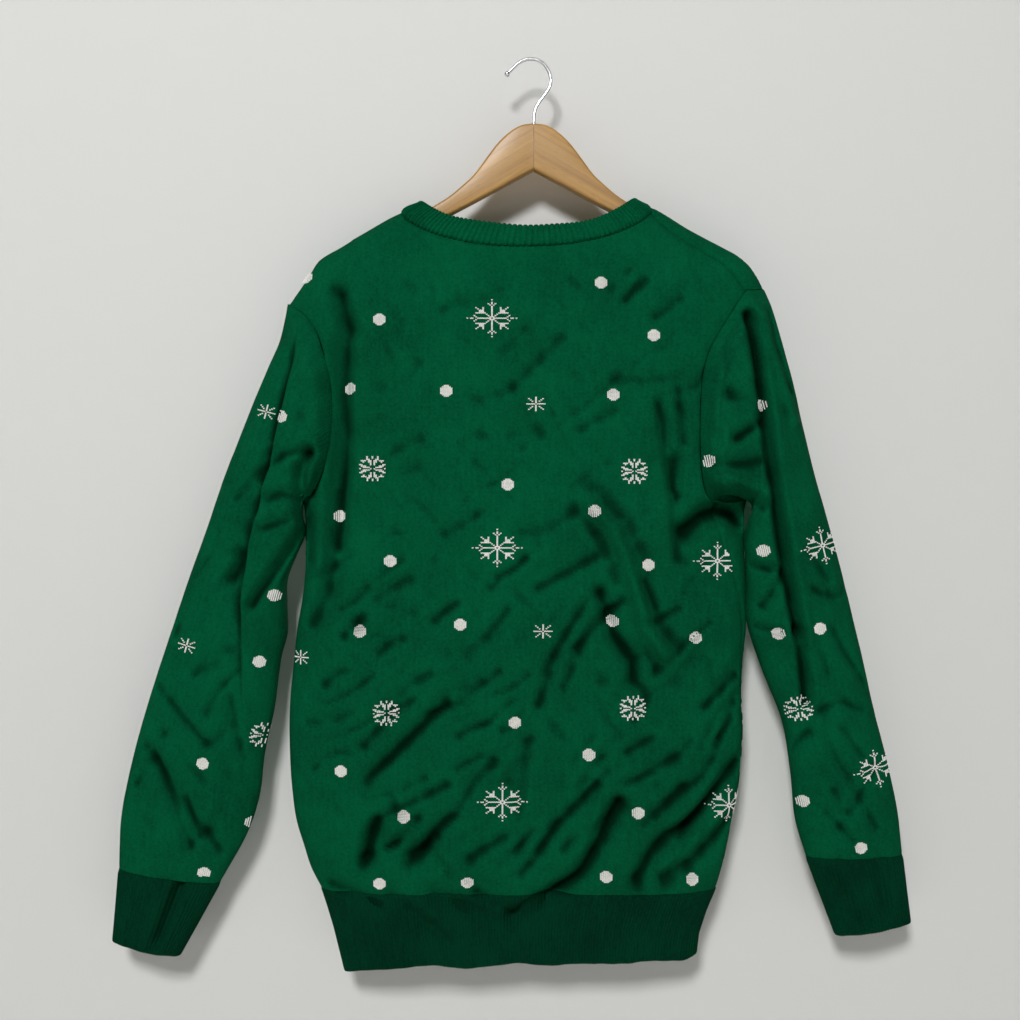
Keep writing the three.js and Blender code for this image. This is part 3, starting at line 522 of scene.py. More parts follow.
BODY = BodyForm()


def flat_q(x: np.ndarray | float, z: np.ndarray | float) -> np.ndarray:
    """The place up the laid-out cloth of a height z on one face, at x."""
    top = SHOULDER_Z(x) + TOP_ROUND
    return top - np.sqrt(np.maximum((top - z) ** 2 - TOP_ROUND ** 2, 0))


def side_seam(z: np.ndarray | float, side: Side, right: bool) -> np.ndarray:
    """Where a side seam lies across the laid-out cloth.

    Args:
        z: heights.
        side: the face that it is measured on.
        right: whether it is the right seam.

    Returns:
        Its places across.
    """
    if right:
        return SIDES["right"](z) + SIDE_ROUND + side.value * SIDE_SEAM["right"](z)
    return SIDES["left"](z) - SIDE_ROUND - side.value * SIDE_SEAM["left"](z)


LEFT_ARMHOLE_BACK = Route([(-229, -227), (-212, -238), (-200, -253), (-192, -274), (-186, -297), (-184, -325),
                           (-185, -350), (-189, -374), (-196, -392), (-206, -405)])
RIGHT_ARMHOLE_BACK = Route([(195, -216), (185, -230), (167, -258), (158, -276), (153, -298), (151, -328),
                            (151, -360), (153, -387), (157, -403), (164, -411)])
RIGHT_SHOULDER_END = Route([(216, -212), (207, -215), (195, -216)])
LEFT_ARMHOLE_FRONT = Route([(-229, -221), (-212, -236), (-196, -258), (-186, -290), (-182, -325),
                            (-184, -352), (-191, -377), (-203, -395), (-218, -403),
                            (float(side_seam(LEFT_UNDERARM_Z, Side.FRONT, False)), LEFT_UNDERARM_Z)])
RIGHT_ARMHOLE_FRONT = Route([(216, -212), (200, -224), (180, -245), (166, -275), (160, -310), (161, -345),
                             (168, -375), (182, -396), (203, -407),
                             (float(side_seam(RIGHT_UNDERARM_Z, Side.FRONT, True)), RIGHT_UNDERARM_Z)])
SHOULDER_SEAM_Z = Smooth([(108, -141), (117, -153), (135, -167), (158, -181), (180, -196), (195, -216)])
RIGHT_SHOULDER_PART = 0.085
FRONT_SHOULDER_PART = 0.14


def dip_shape(across: np.ndarray, side: Side) -> np.ndarray:
    """How far the neck line drops at a place across it, from -1 at one end to 1 at the other."""
    reach = np.minimum(np.abs(across), 1)
    return (1 - reach ** 2.3) ** 0.75 if side is Side.BACK else 1 - reach ** 2


def front_right_edge(t: np.ndarray) -> tuple[np.ndarray, np.ndarray]:
    """The front's right armhole edge, from the shoulder seam on the back over to the front.

    Args:
        t: fractions of its length.

    Returns:
        Places across and up the laid-out cloth.
    """
    x, z = RIGHT_SHOULDER_END(1 - np.minimum(t / FRONT_SHOULDER_PART, 1))
    over_q = 2 * (SHOULDER_Z(x) + TOP_ROUND) - flat_q(x, z)
    p, q = RIGHT_ARMHOLE_FRONT(np.maximum((t - FRONT_SHOULDER_PART) / (1 - FRONT_SHOULDER_PART), 0))
    over = t <= FRONT_SHOULDER_PART
    return np.where(over, x, p), np.where(over, over_q, q)


# Meshes


def grid_faces(rows: int, count: int, round_rows: bool, round_columns: bool) -> np.ndarray:
    """Quads over a grid of points.

    Args:
        rows: how many rows of points.
        count: how many points in a row.
        round_rows: whether the last row joins the first.
        round_columns: whether each row's last point joins its first.

    Returns:
        Four rows of corner numbers, as row and column places.
    """
    i, j = np.meshgrid(np.arange(rows if round_rows else rows - 1),
                       np.arange(count if round_columns else count - 1), indexing="ij")
    i, j = i.ravel(), j.ravel()
    return np.stack([np.stack([i, j], -1), np.stack([i + 1, j], -1),
                     np.stack([i + 1, j + 1], -1), np.stack([i, j + 1], -1)], axis=1)


def linked(name: str, data: bpy.types.ID) -> bpy.types.Object:
    """An object of a mesh, curve, light or camera, linked to the scene."""
    piece = bpy.data.objects.new(name, data)
    bpy.context.scene.collection.objects.link(piece)
    return piece


def finished_mesh(piece: bpy.types.Object) -> bpy.types.Mesh:
    """A plain mesh of an object with its modifiers worked out."""
    depsgraph = bpy.context.evaluated_depsgraph_get()
    return bpy.data.meshes.new_from_object(piece.evaluated_get(depsgraph), depsgraph=depsgraph)


def girth_of(ring: np.ndarray) -> np.ndarray:
    """How far round a closed ring each of its points lies, the first once more at the end."""
    return np.concatenate([[0], np.cumsum(np.linalg.norm(np.roll(ring, -1, 0) - ring, axis=-1))])


def drawn_in(away: np.ndarray, depth: float) -> np.ndarray:
    """How far a seam draws the cloth in.

    Args:
        away: how far each place is from the seam, in millimetres.
        depth: how far it draws in at the seam itself.

    Returns:
        Millimetres inwards.
    """
    return depth * np.exp(-((away / SEAM_WIDTH) ** 2))


def mesh_object(name: str, points: np.ndarray, quads: np.ndarray, cloth: np.ndarray,
                finish: bpy.types.Material, sharp_degrees: float = 55) -> bpy.types.Object:
    """A smooth-shaded mesh object of quads with its places on the laid-out cloth.

    Args:
        name: the object's name.
        points: its points in millimetres.
        quads: four point numbers a face.
        cloth: a place on the cloth, in millimetres, for each corner of each face.
        finish: its material.
        sharp_degrees: the angle from which an edge is sharp.

    Returns:
        The object, linked to the scene, with its faces pointing outwards.
    """
    mesh = bpy.data.meshes.new(name)
    a, b, c = (points[quads[:, k]] for k in (0, 1, 2))
    d = points[quads[:, 3]]
    volume = np.sum(np.einsum("ij,ij->i", a, np.cross(b, c)) + np.einsum("ij,ij->i", a, np.cross(c, d)))
    if volume < 0:
        quads, cloth = quads[:, ::-1], cloth[:, ::-1]
    mesh.vertices.add(len(points))
    mesh.vertices.foreach_set("co", (points * MM).astype(np.float32).ravel())
    mesh.loops.add(quads.size)
    mesh.loops.foreach_set("vertex_index", quads.astype(np.int32).ravel())
    mesh.polygons.add(len(quads))
    mesh.polygons.foreach_set("loop_start", np.arange(0, quads.size, 4, dtype=np.int32))
    mesh.update(calc_edges=True)
    layer = mesh.uv_layers.new(name="Cloth")
    layer.data.foreach_set("uv", (cloth * MM).astype(np.float32).ravel())
    mesh.shade_smooth()
    mesh.set_sharp_from_angle(angle=math.radians(sharp_degrees))
    mesh.materials.append(finish)
    return linked(name, mesh)


def crease_shade_mask(outer: np.ndarray, inner: np.ndarray, round_columns: bool) -> np.ndarray:
    """How far each grid point lies behind the cloth round it: the mask by which shade is painted into the
    wool's colour in creases.

    Args:
        outer: the outer grid, in millimetres.
        inner: the inner grid.
        round_columns: whether the grid is a tube.

    Returns:
        From 0 on plain cloth to 1 in a deep crease.
    """
    rows, count = outer.shape[:2]
    outward = unit(outer - inner)
    total = np.zeros((rows, count))
    for reach in HOLLOW_REACHES:
        wide = np.pad(outer, ((reach, reach), (0, 0), (0, 0)), mode="reflect", reflect_type="odd")
        sides = {"mode": "wrap"} if round_columns else {"mode": "reflect", "reflect_type": "odd"}
        wide = np.pad(wide, ((0, 0), (reach, reach), (0, 0)), **sides)
        beside = wide[reach:-reach, :count] + wide[reach:-reach, 2 * reach:]
        around = (beside + wide[:rows, reach:-reach] + wide[2 * reach:, reach:-reach]) / 4
        total += np.sum((around - outer) * outward, axis=-1)
    return np.clip((total - HOLLOW_LEAST) / HOLLOW_DEPTH, 0, 1)


def wall_object(name: str, outer: np.ndarray, inner: np.ndarray, cloth: np.ndarray,
                finish: bpy.types.Material, round_columns: bool = False) -> bpy.types.Object:
    """A closed wall between two grids of points.

    Args:
        name: the object's name.
        outer: the outer grid, in millimetres.
        inner: the inner grid.
        cloth: each grid point's place on the cloth, with one more column if the wall is round.
        finish: its material.
        round_columns: whether the wall is a tube.

    Returns:
        The object.
    """
    rows, count = outer.shape[:2]
    face = grid_faces(rows, count, False, round_columns)
    front = face[..., 0] * count + face[..., 1] % count
    back = front[:, ::-1] + rows * count
    uv_front = cloth[face[..., 0], face[..., 1]]
    parts, uvs = [front, back], [uv_front, uv_front[:, ::-1]]
    span = np.arange(count if round_columns else count - 1)
    for row in (0, rows - 1):
        near, far = row * count + span, row * count + (span + 1) % count
        strip = np.stack([near, far, far + rows * count, near + rows * count], axis=1)
        here, beyond = cloth[row, span], cloth[row, span + 1]
        uv = np.stack([here, beyond, beyond, here], axis=1)
        parts.append(strip if row == 0 else strip[:, ::-1])
        uvs.append(uv if row == 0 else uv[:, ::-1])
    if not round_columns:
        fall = np.arange(rows - 1)
        for column in (0, count - 1):
            near, far = fall * count + column, (fall + 1) * count + column
            strip = np.stack([near, near + rows * count, far + rows * count, far], axis=1)
            here, beyond = cloth[fall, column], cloth[fall + 1, column]
            uv = np.stack([here, here, beyond, beyond], axis=1)
            parts.append(strip if column == 0 else strip[:, ::-1])
            uvs.append(uv if column == 0 else uv[:, ::-1])
    points = np.concatenate([outer.reshape(-1, 3), inner.reshape(-1, 3)])
    piece = mesh_object(name, points, np.concatenate(parts), np.concatenate(uvs), finish)
    # The mask of painted shade for creases, kept on the outer points only; the inner wall gets none.
    crease_shade = crease_shade_mask(outer, inner, round_columns).ravel()
    attribute = piece.data.attributes.new("crease_shade", "FLOAT", "POINT")
    attribute.data.foreach_set("value", np.concatenate([crease_shade, 0 * crease_shade]).astype(np.float32))
    return piece


def ring_object(name: str, rings: np.ndarray, cloth: np.ndarray, finish: bpy.types.Material,
                turn: np.ndarray) -> bpy.types.Object:
    """A closed band: rings of points, the last joined to the first, each joined round.

    Args:
        name: the object's name.
        rings: the points, ring by ring, in millimetres.
        cloth: each point's place on the cloth, with one more column.
        finish: its material.
        turn: how many ribs round each column lies, for the rib tree.

    Returns:
        The object.
    """
    rows, count = rings.shape[:2]
    face = grid_faces(rows, count, True, True)
    quads = (face[..., 0] % rows) * count + face[..., 1] % count
    uv = cloth[face[..., 0] % rows, face[..., 1]]
    piece = mesh_object(name, rings.reshape(-1, 3), quads, uv, finish, sharp_degrees=180)
    attribute = piece.data.attributes.new("turn", "FLOAT", "POINT")
    attribute.data.foreach_set("value", np.tile(turn, rows).astype(np.float32))
    return piece


# Nodes and finishes


def linear(hex_colour: str) -> tuple[float, float, float, float]:
    """A hex sRGB colour as linear red, green, blue and alpha."""
    values = [int(hex_colour[i:i + 2], 16) / 255 for i in (1, 3, 5)]
    return (*[v / 12.92 if v <= 0.04045 else ((v + 0.055) / 1.055) ** 2.4 for v in values], 1.0)


def add_node(tree: bpy.types.NodeTree, kind: str, sockets: dict | tuple = (), **settings) -> bpy.types.Node:
    """Adds a node with its settings, values and links.

    Args:
        tree: the node tree.
        kind: the node's type name.
        sockets: for an input's name or number, or for the inputs in order, a value, the output socket
            that feeds it or the node whose first output does.
        settings: the node's own properties.

    Returns:
        The node.
    """
    node = tree.nodes.new(kind)
    for name, value in settings.items():
        setattr(node, name, value)
    for key, source in (sockets if isinstance(sockets, dict) else dict(enumerate(sockets))).items():
        if isinstance(source, bpy.types.Node):
            source = source.outputs[0]
        if isinstance(source, bpy.types.NodeSocket):
            tree.links.new(source, node.inputs[key])
        else:
            node.inputs[key].default_value = source
    return node


def new_material(name: str) -> tuple[bpy.types.Material, bpy.types.NodeTree, bpy.types.Node]:
    """An empty node material with a surface shader.

    Args:
        name: the material's name.

    Returns:
        The material, its tree and its shader node.
    """
    material = bpy.data.materials.new(name)
    material.use_nodes = True
    tree = material.node_tree
    tree.nodes.clear()
    shader = add_node(tree, "ShaderNodeBsdfPrincipled")
    add_node(tree, "ShaderNodeOutputMaterial", {"Surface": shader.outputs[0]})
    return material, tree, shader


@dataclass(frozen=True)
class Wool:
    """Fine wool knitted in plain stitch: matte, with rows of small Vs and a soft halo of fibre."""

    name: str
    colour: str
    shade: str
    wale: float = WALE
    course: float = COURSE
    # A near-black green, painted into the deepest creases as shade.
    crease_shade_colour: str = "#00140A"
    bump: float = 0.6
    sheen: float = 0.02
    dye_scale: float = 18         # uneven dye in patches of about 55 mm
    fuzz_scale: float = 430       # tufts of fibre of about 2.3 mm, coarser than real so that they show

    def material(self) -> bpy.types.Material:
        """Builds the material: Vs by the cloth's own places, with uneven dye and fuzz, and shade painted into
        deep creases.

        Returns:
            The material.
        """
        material, tree, shader = new_material(self.name)
        place = add_node(tree, "ShaderNodeUVMap", uv_map="Cloth")
        parts = add_node(tree, "ShaderNodeSeparateXYZ", (place,))
        across = add_node(tree, "ShaderNodeMath", (parts.outputs[0], self.wale * MM), operation="DIVIDE")
        up = add_node(tree, "ShaderNodeMath", (parts.outputs[1], self.course * MM), operation="DIVIDE")
        leg = add_node(tree, "ShaderNodeMath", (across, 0.5), operation="PINGPONG")
        slope = add_node(tree, "ShaderNodeMath", (leg, 1.4), operation="MULTIPLY")
        slant = add_node(tree, "ShaderNodeMath", (up, slope), operation="ADD")
        waves = []
        for source, turn, sharpness in ((slant, math.pi, 0.6), (across, 2 * math.pi, 0.5)):
            angle = add_node(tree, "ShaderNodeMath", (source, turn), operation="MULTIPLY")
            wave = add_node(tree, "ShaderNodeMath", (angle,), operation="SINE")
            crest = add_node(tree, "ShaderNodeMath", (wave,), operation="ABSOLUTE")
            waves.append(add_node(tree, "ShaderNodeMath", (crest, sharpness), operation="POWER"))
        stitch = add_node(tree, "ShaderNodeMath", tuple(waves), operation="MULTIPLY")
        spot = add_node(tree, "ShaderNodeTexCoord").outputs["Object"]
        dye = add_node(tree, "ShaderNodeTexNoise", {
            "Vector": spot, "Scale": self.dye_scale, "Detail": 6, "Roughness": 0.6})
        fuzz = add_node(tree, "ShaderNodeTexNoise", {
            "Vector": spot, "Scale": self.fuzz_scale, "Detail": 4, "Roughness": 0.75})
        # Wales differ a little from each other: streaks two wales wide, so that they show in the render.
        lay = add_node(tree, "ShaderNodeMapping", {
            "Vector": place, "Scale": (1 / (2 * self.wale * MM), 1 / (22 * self.course * MM), 1)})
        streak = add_node(tree, "ShaderNodeTexNoise", {"Vector": lay, "Scale": 1.0, "Detail": 2})
        tone = add_node(tree, "ShaderNodeMath", (dye, 1.0, -1.16), operation="MULTIPLY_ADD")
        # A stand-in for shade: the studio light leaves deep creases paler than the photograph does.
        crease_shade = add_node(tree, "ShaderNodeAttribute", attribute_name="crease_shade").outputs["Fac"]
        for source, share in ((fuzz, 1.5), (streak, 0.4), (stitch, 0.6), (crease_shade, -1.0)):
            tone = add_node(tree, "ShaderNodeMath", (source, share, tone), operation="MULTIPLY_ADD")
        plain = add_node(tree, "ShaderNodeMix", {0: tone, 6: linear(self.shade), 7: linear(self.colour)},
                         data_type="RGBA", clamp_factor=True)
        # Painted shade: the deepest creases are mixed towards the near-black green.
        deep = add_node(tree, "ShaderNodeMath", (crease_shade, 0.0), operation="MAXIMUM")
        closed = add_node(tree, "ShaderNodeMath", (deep, 0.85), operation="MULTIPLY")
        colour = add_node(tree, "ShaderNodeMix", {0: closed, 6: plain.outputs[2], 7: linear(self.crease_shade_colour)},
                          data_type="RGBA", clamp_factor=True)
        tree.links.new(colour.outputs[2], shader.inputs["Base Color"])
        fibre = add_node(tree, "ShaderNodeMath", (fuzz, 0.4), operation="MULTIPLY")
        height = add_node(tree, "ShaderNodeMath", (stitch, fibre), operation="ADD")
        bump = add_node(tree, "ShaderNodeBump", {
            "Height": height, "Distance": 0.45 * MM, "Strength": self.bump})
        tree.links.new(bump.outputs[0], shader.inputs["Normal"])
        shader.inputs["Roughness"].default_value = 0.92
        shader.inputs["Specular IOR Level"].default_value = 0.02
        shader.inputs["Sheen Weight"].default_value = self.sheen
        shader.inputs["Sheen Roughness"].default_value = 0.55
        shader.inputs["Sheen Tint"].default_value = linear(self.colour)
        return material


@dataclass(frozen=True)
class VarnishedBeech:
    """Steamed beech, planed and varnished: pale tan, fine grain with short dark flecks, a soft gloss."""

    name: str = "Varnished beech"
    light: str = "#AD843F"
    dark: str = "#86602A"
    ring_mm: float = 5
    fleck_mm: float = 1.2

    def material(self) -> bpy.types.Material:
        """Builds the material, its grain along the Cloth map's first direction.

        Returns:
            The material.
        """
        material, tree, shader = new_material(self.name)
        place = add_node(tree, "ShaderNodeUVMap", uv_map="Cloth").outputs[0]
        stretched = add_node(tree, "ShaderNodeMapping", {
            "Vector": place, "Scale": (9, 1 / (self.ring_mm * MM), 1)})
        rings = add_node(tree, "ShaderNodeTexNoise", {
            "Vector": stretched, "Scale": 1.0, "Detail": 4, "Distortion": 0.6})
        thin = add_node(tree, "ShaderNodeMapping", {
            "Vector": place, "Scale": (120, 1 / (self.fleck_mm * MM), 1)})
        flecks = add_node(tree, "ShaderNodeTexNoise", {"Vector": thin, "Scale": 1.0, "Detail": 2})
        spots = add_node(tree, "ShaderNodeMath", (flecks, 0.62), operation="GREATER_THAN")
        dark_flecks = add_node(tree, "ShaderNodeMath", (spots, -0.25), operation="MULTIPLY")
        ringed = add_node(tree, "ShaderNodeMath", (rings, 1.6, -0.3), operation="MULTIPLY_ADD")
        tone = add_node(tree, "ShaderNodeMath", (ringed, dark_flecks), operation="ADD")
        colour = add_node(tree, "ShaderNodeMix", {0: tone, 6: linear(self.dark), 7: linear(self.light)},
                          data_type="RGBA", clamp_factor=True)
        tree.links.new(colour.outputs[2], shader.inputs["Base Color"])
        bump = add_node(tree, "ShaderNodeBump", {"Height": flecks, "Distance": 0.05 * MM, "Strength": 0.4})
        tree.links.new(bump.outputs[0], shader.inputs["Normal"])
        shader.inputs["Roughness"].default_value = 0.52
        shader.inputs["Coat Weight"].default_value = 0.12
        shader.inputs["Coat Roughness"].default_value = 0.18
        return material


@dataclass(frozen=True)
class ChromedWire:
    """Steel wire with bright chrome: clear reflections, only faint draw marks along it."""

    name: str = "Chromed steel wire"
    colour: str = "#DADCDD"
    mark_mm: float = 2

    def material(self) -> bpy.types.Material:
        """Builds the material.

        Returns:
            The material.
        """
        material, tree, shader = new_material(self.name)
        spot = add_node(tree, "ShaderNodeTexCoord").outputs["Object"]
        marks = add_node(tree, "ShaderNodeTexNoise", {
            "Vector": spot, "Scale": 1 / (self.mark_mm * MM), "Detail": 3})
        rough = add_node(tree, "ShaderNodeMapRange", {"Value": marks, "To Min": 0.12, "To Max": 0.26})
        tree.links.new(rough.outputs[0], shader.inputs["Roughness"])
        shader.inputs["Base Color"].default_value = linear(self.colour)
        shader.inputs["Metallic"].default_value = 1.0
        return material


@dataclass(frozen=True)
class Emulsion:
    """Matt emulsion, rolled on: flat, even and without a gloss, a pale neutral grey as it is lit here."""

    name: str = "Matt emulsion"
    colour: str = "#CACAC8"
    one_sided: bool = False

    def material(self) -> bpy.types.Material:
        """Builds the material, see-through from behind and open to the rear light if it is one-sided.

        Returns:
            The material.
        """
        material, tree, shader = new_material(self.name)
        shader.inputs["Base Color"].default_value = linear(self.colour)
        shader.inputs["Roughness"].default_value = 0.95
        shader.inputs["Specular IOR Level"].default_value = 0.1
        if self.one_sided:
            from_behind = add_node(tree, "ShaderNodeNewGeometry").outputs["Backfacing"]
            to_a_light = add_node(tree, "ShaderNodeLightPath").outputs["Is Shadow Ray"]
            open_way = add_node(tree, "ShaderNodeMath", (from_behind, to_a_light), operation="MAXIMUM")
            clear = add_node(tree, "ShaderNodeBsdfTransparent")
            both = add_node(tree, "ShaderNodeMixShader", (open_way, shader, clear))
            output = next(node for node in tree.nodes if node.type == "OUTPUT_MATERIAL")
            tree.links.new(both.outputs[0], output.inputs["Surface"])
        return material


@dataclass(frozen=True)
class Finishes:
    """The materials of the jumper and its hanger."""

    knit: bpy.types.Material
    rib: bpy.types.Material
    collar: bpy.types.Material
    motif: bpy.types.Material
    beech: bpy.types.Material
    wire: bpy.types.Material


def make_finishes() -> Finishes:
    """Builds every material once.

    Returns:
        The finishes.
    """
    return Finishes(
        knit=Wool("Green lambswool knit", "#025736", "#01321D").material(),
        # The rib's colours are darker than the body knit's, though it is the same yarn: painted shade on the
        # hem and cuffs.
        rib=Wool("Green lambswool rib", "#023723", "#011A0F", bump=0.4).material(),
        collar=Wool("Green lambswool neck rib", "#025736", "#012C19", bump=0.4).material(),
        motif=Wool("White lambswool stitches", "#FFFDF9", "#E2E2DC", bump=0.1, sheen=0.15).material(),
        beech=VarnishedBeech().material(),
        wire=ChromedWire().material(),
    )


# Trees that repeat


def new_tree(name: str, inputs: dict[str, tuple[str, object]]
             ) -> tuple[bpy.types.NodeTree, bpy.types.Node, dict]:
    """A geometry tree with named inputs.

    Args:
        name: the tree's name.
        inputs: for each input's name, its socket type and value.

    Returns:
        The tree, its input node and the identifier of each input.
    """
    tree = bpy.data.node_groups.new(name, "GeometryNodeTree")
    tree.interface.new_socket("Geometry", in_out="INPUT", socket_type="NodeSocketGeometry")
    tree.interface.new_socket("Geometry", in_out="OUTPUT", socket_type="NodeSocketGeometry")
    keys = {}
    for label, (kind, value) in inputs.items():
        socket = tree.interface.new_socket(label, in_out="INPUT", socket_type=kind)
        if value is not None:
            socket.default_value = value
        keys[label] = socket.identifier
    return tree, add_node(tree, "NodeGroupInput"), keys


def close_tree(tree: bpy.types.NodeTree, geometry: bpy.types.NodeSocket,
               material: bpy.types.NodeSocket) -> None:
    """Ends a tree in Realize Instances and Set Material."""
    real = add_node(tree, "GeometryNodeRealizeInstances", {0: geometry})
    dressed = add_node(tree, "GeometryNodeSetMaterial", {"Geometry": real.outputs[0], "Material": material})
    add_node(tree, "NodeGroupOutput", {0: dressed.outputs[0]})


def grow(piece: bpy.types.Object, tree: bpy.types.NodeTree, keys: dict, values: dict) -> bpy.types.Object:
    """Runs a tree on a piece and keeps the result as its plain mesh.

    Args:
        piece: the object.
        tree: the geometry tree.
        keys: the identifier of each input.
        values: the input values by name.

    Returns:
        The same object.
    """
    modifier = piece.modifiers.new(tree.name, "NODES")
    modifier.node_group = tree
    for label, value in values.items():
        modifier[keys[label]] = value
    mesh, old = finished_mesh(piece), piece.data
    piece.modifiers.remove(modifier)
    piece.data = mesh
    bpy.data.meshes.remove(old)
    mesh.name = piece.name
    return piece


def rib_tree() -> tuple[bpy.types.NodeTree, dict]:
    """A tree that raises ribs on a band, one for each whole number of its "turn" attribute.

    Returns:
        The tree and the identifier of each input.
    """
    tree, source, keys = new_tree("Rib knit", {
        "Rib height": ("NodeSocketFloat", 0.0006), "Roundness": ("NodeSocketFloat", 0.6),
        "Finish": ("NodeSocketMaterial", None)})
    turn = add_node(tree, "GeometryNodeInputNamedAttribute", {"Name": "turn"}, data_type="FLOAT").outputs[0]
    angle = add_node(tree, "ShaderNodeMath", (turn, math.pi), operation="MULTIPLY")
    wave = add_node(tree, "ShaderNodeMath", (angle,), operation="SINE")
    rib = add_node(tree, "ShaderNodeMath", (wave,), operation="ABSOLUTE")
    full = add_node(tree, "ShaderNodeMath", (rib, source.outputs["Roundness"]), operation="POWER")
    rise = add_node(tree, "ShaderNodeMath", (full, source.outputs["Rib height"]), operation="MULTIPLY")
    normal = add_node(tree, "GeometryNodeInputNormal").outputs[0]
    offset = add_node(tree, "ShaderNodeVectorMath", {0: normal, "Scale": rise}, operation="SCALE").outputs[0]
    raised = add_node(tree, "GeometryNodeSetPosition", {"Geometry": source.outputs[0], "Offset": offset})
    close_tree(tree, raised.outputs[0], source.outputs["Finish"])
    return tree, keys


def stitch_tree() -> tuple[bpy.types.NodeTree, dict]:
    """A tree that sets a knitted V on each point, by its "across" and "outward" attributes.

    Returns:
        The tree and the identifier of each input.
    """
    tree, source, keys = new_tree("Knitted Vs", {
        "Wale": ("NodeSocketFloat", WALE * MM), "Course": ("NodeSocketFloat", COURSE * MM),
        "Yarn height": ("NodeSocketFloat", 0.00045), "Lean": ("NodeSocketFloat", 0.36),
        "Finish": ("NodeSocketMaterial", None)})
    wale, course = source.outputs["Wale"], source.outputs["Course"]
    leaf = add_node(tree, "GeometryNodeMeshUVSphere", {"Segments": 4, "Rings": 2, "Radius": 1.0}).outputs[0]
    size = add_node(tree, "ShaderNodeCombineXYZ", (
        add_node(tree, "ShaderNodeMath", (wale, 0.3), operation="MULTIPLY"),
        add_node(tree, "ShaderNodeMath", (course, 0.78), operation="MULTIPLY"),
        source.outputs["Yarn height"]))
    legs = []
    for way in (-1, 1):
        lean = add_node(tree, "ShaderNodeMath", (source.outputs["Lean"], -way), operation="MULTIPLY")
        turned = add_node(tree, "ShaderNodeCombineXYZ", {2: lean})
        aside = add_node(tree, "ShaderNodeMath", (wale, 0.24 * way), operation="MULTIPLY")
        offset = add_node(tree, "ShaderNodeCombineXYZ", {0: aside})
        legs.append(add_node(tree, "GeometryNodeTransform", {
            "Geometry": leaf, "Translation": offset, "Rotation": turned, "Scale": size}).outputs[0])
    join = add_node(tree, "GeometryNodeJoinGeometry")
    for leg in legs:
        tree.links.new(leg, join.inputs[0])
    outward = add_node(tree, "GeometryNodeInputNamedAttribute", {"Name": "outward"}, data_type="FLOAT_VECTOR")
    across = add_node(tree, "GeometryNodeInputNamedAttribute", {"Name": "across"}, data_type="FLOAT_VECTOR")
    turn = add_node(tree, "FunctionNodeAxesToRotation", {0: outward.outputs[0], 1: across.outputs[0]},
                    primary_axis="Z", secondary_axis="X")
    placed = add_node(tree, "GeometryNodeInstanceOnPoints", {
        "Points": source.outputs[0], "Instance": join.outputs[0], "Rotation": turn.outputs[0]})
    smooth = add_node(tree, "GeometryNodeSetShadeSmooth", {0: placed.outputs[0]})
    close_tree(tree, smooth.outputs[0], source.outputs["Finish"])
    return tree, keys


# Motifs


class Motif(Enum):
    """The knitted motifs, each by a quarter of its chart: rows up from its middle, cells out from it."""

    BIG_FLAKE = (
        ".xxxxxxxx..xx.x",
        "xx.......x.....",
        "x.x.......x....",
        "x..x...........",
        "x...xxxxxx.....",
        "x....xxx.......",
        "x....xxx.......",
        "x....x..x......",
        "x....x...x.....",
        "x..............",
        ".x.............",
        "x.x............",
        "x..............",
        "...............",
        "x..............",
    )
    LEAF_FLAKE = (
        ".x.....x",
        "..xxxx..",
        "....xxx.",
        ".x....xx",
        ".x......",
        ".xx..x..",
        ".xx.xxx.",
        "..xx....",
        "x..x....",
        "x..x....",
    )
    STAR = (
        ".xxxxx",
        "x.....",
        "x.x...",
        "x..x..",
        "x...x.",
        "x.....",
    )
    DOT = (
        "xxxx",
        "xxxx",
        "xxxx",
        "xxx.",
        "xx..",
    )

    def cells(self) -> list[tuple[int, int]]:
        """The motif's stitches.

        Returns:
            Columns and rows from its middle.
        """
        found = set()
        for row, line in enumerate(self.value):
            for column, mark in enumerate(line):
                if mark == "x":
                    found.update({(column, row), (-column, row), (column, -row), (-column, -row)})
        return sorted(found)


# Where each motif's middle lies, in pixels of the photograph.
BODY_MOTIFS: dict[Motif, list[tuple[float, float]]] = {
    Motif.BIG_FLAKE: [(492, 319), (498, 549), (503, 803), (718, 562), (730, 805)],
    Motif.LEAF_FLAKE: [(373, 469), (635, 472), (386, 713), (634, 709)],
    Motif.STAR: [(537, 404), (544, 632), (301, 657)],
    Motif.DOT: [(601, 283), (380, 320), (655, 336), (351, 389), (447, 392), (613, 395), (508, 485),
                (595, 512), (391, 562), (649, 565), (361, 632), (460, 625), (613, 622), (696, 638),
                (516, 723), (590, 756), (342, 772), (404, 817), (638, 814), (380, 884), (468, 883),
                (606, 878), (693, 880), (340, 516), (308, 279)],
}
LEFT_ARM_MOTIFS: dict[Motif, list[tuple[float, float]]] = {
    Motif.LEAF_FLAKE: [(261, 739)],
    Motif.STAR: [(266, 412), (185, 647)],
    Motif.DOT: [(284, 418), (274, 596), (258, 663), (202, 765), (247, 828), (201, 877)],
}
RIGHT_ARM_MOTIFS: dict[Motif, list[tuple[float, float]]] = {
    Motif.BIG_FLAKE: [(824, 546), (880, 771)],
    Motif.LEAF_FLAKE: [(801, 710)],
    Motif.DOT: [(707, 462), (761, 406), (763, 551), (820, 629), (779, 634), (807, 805), (864, 851)],
}


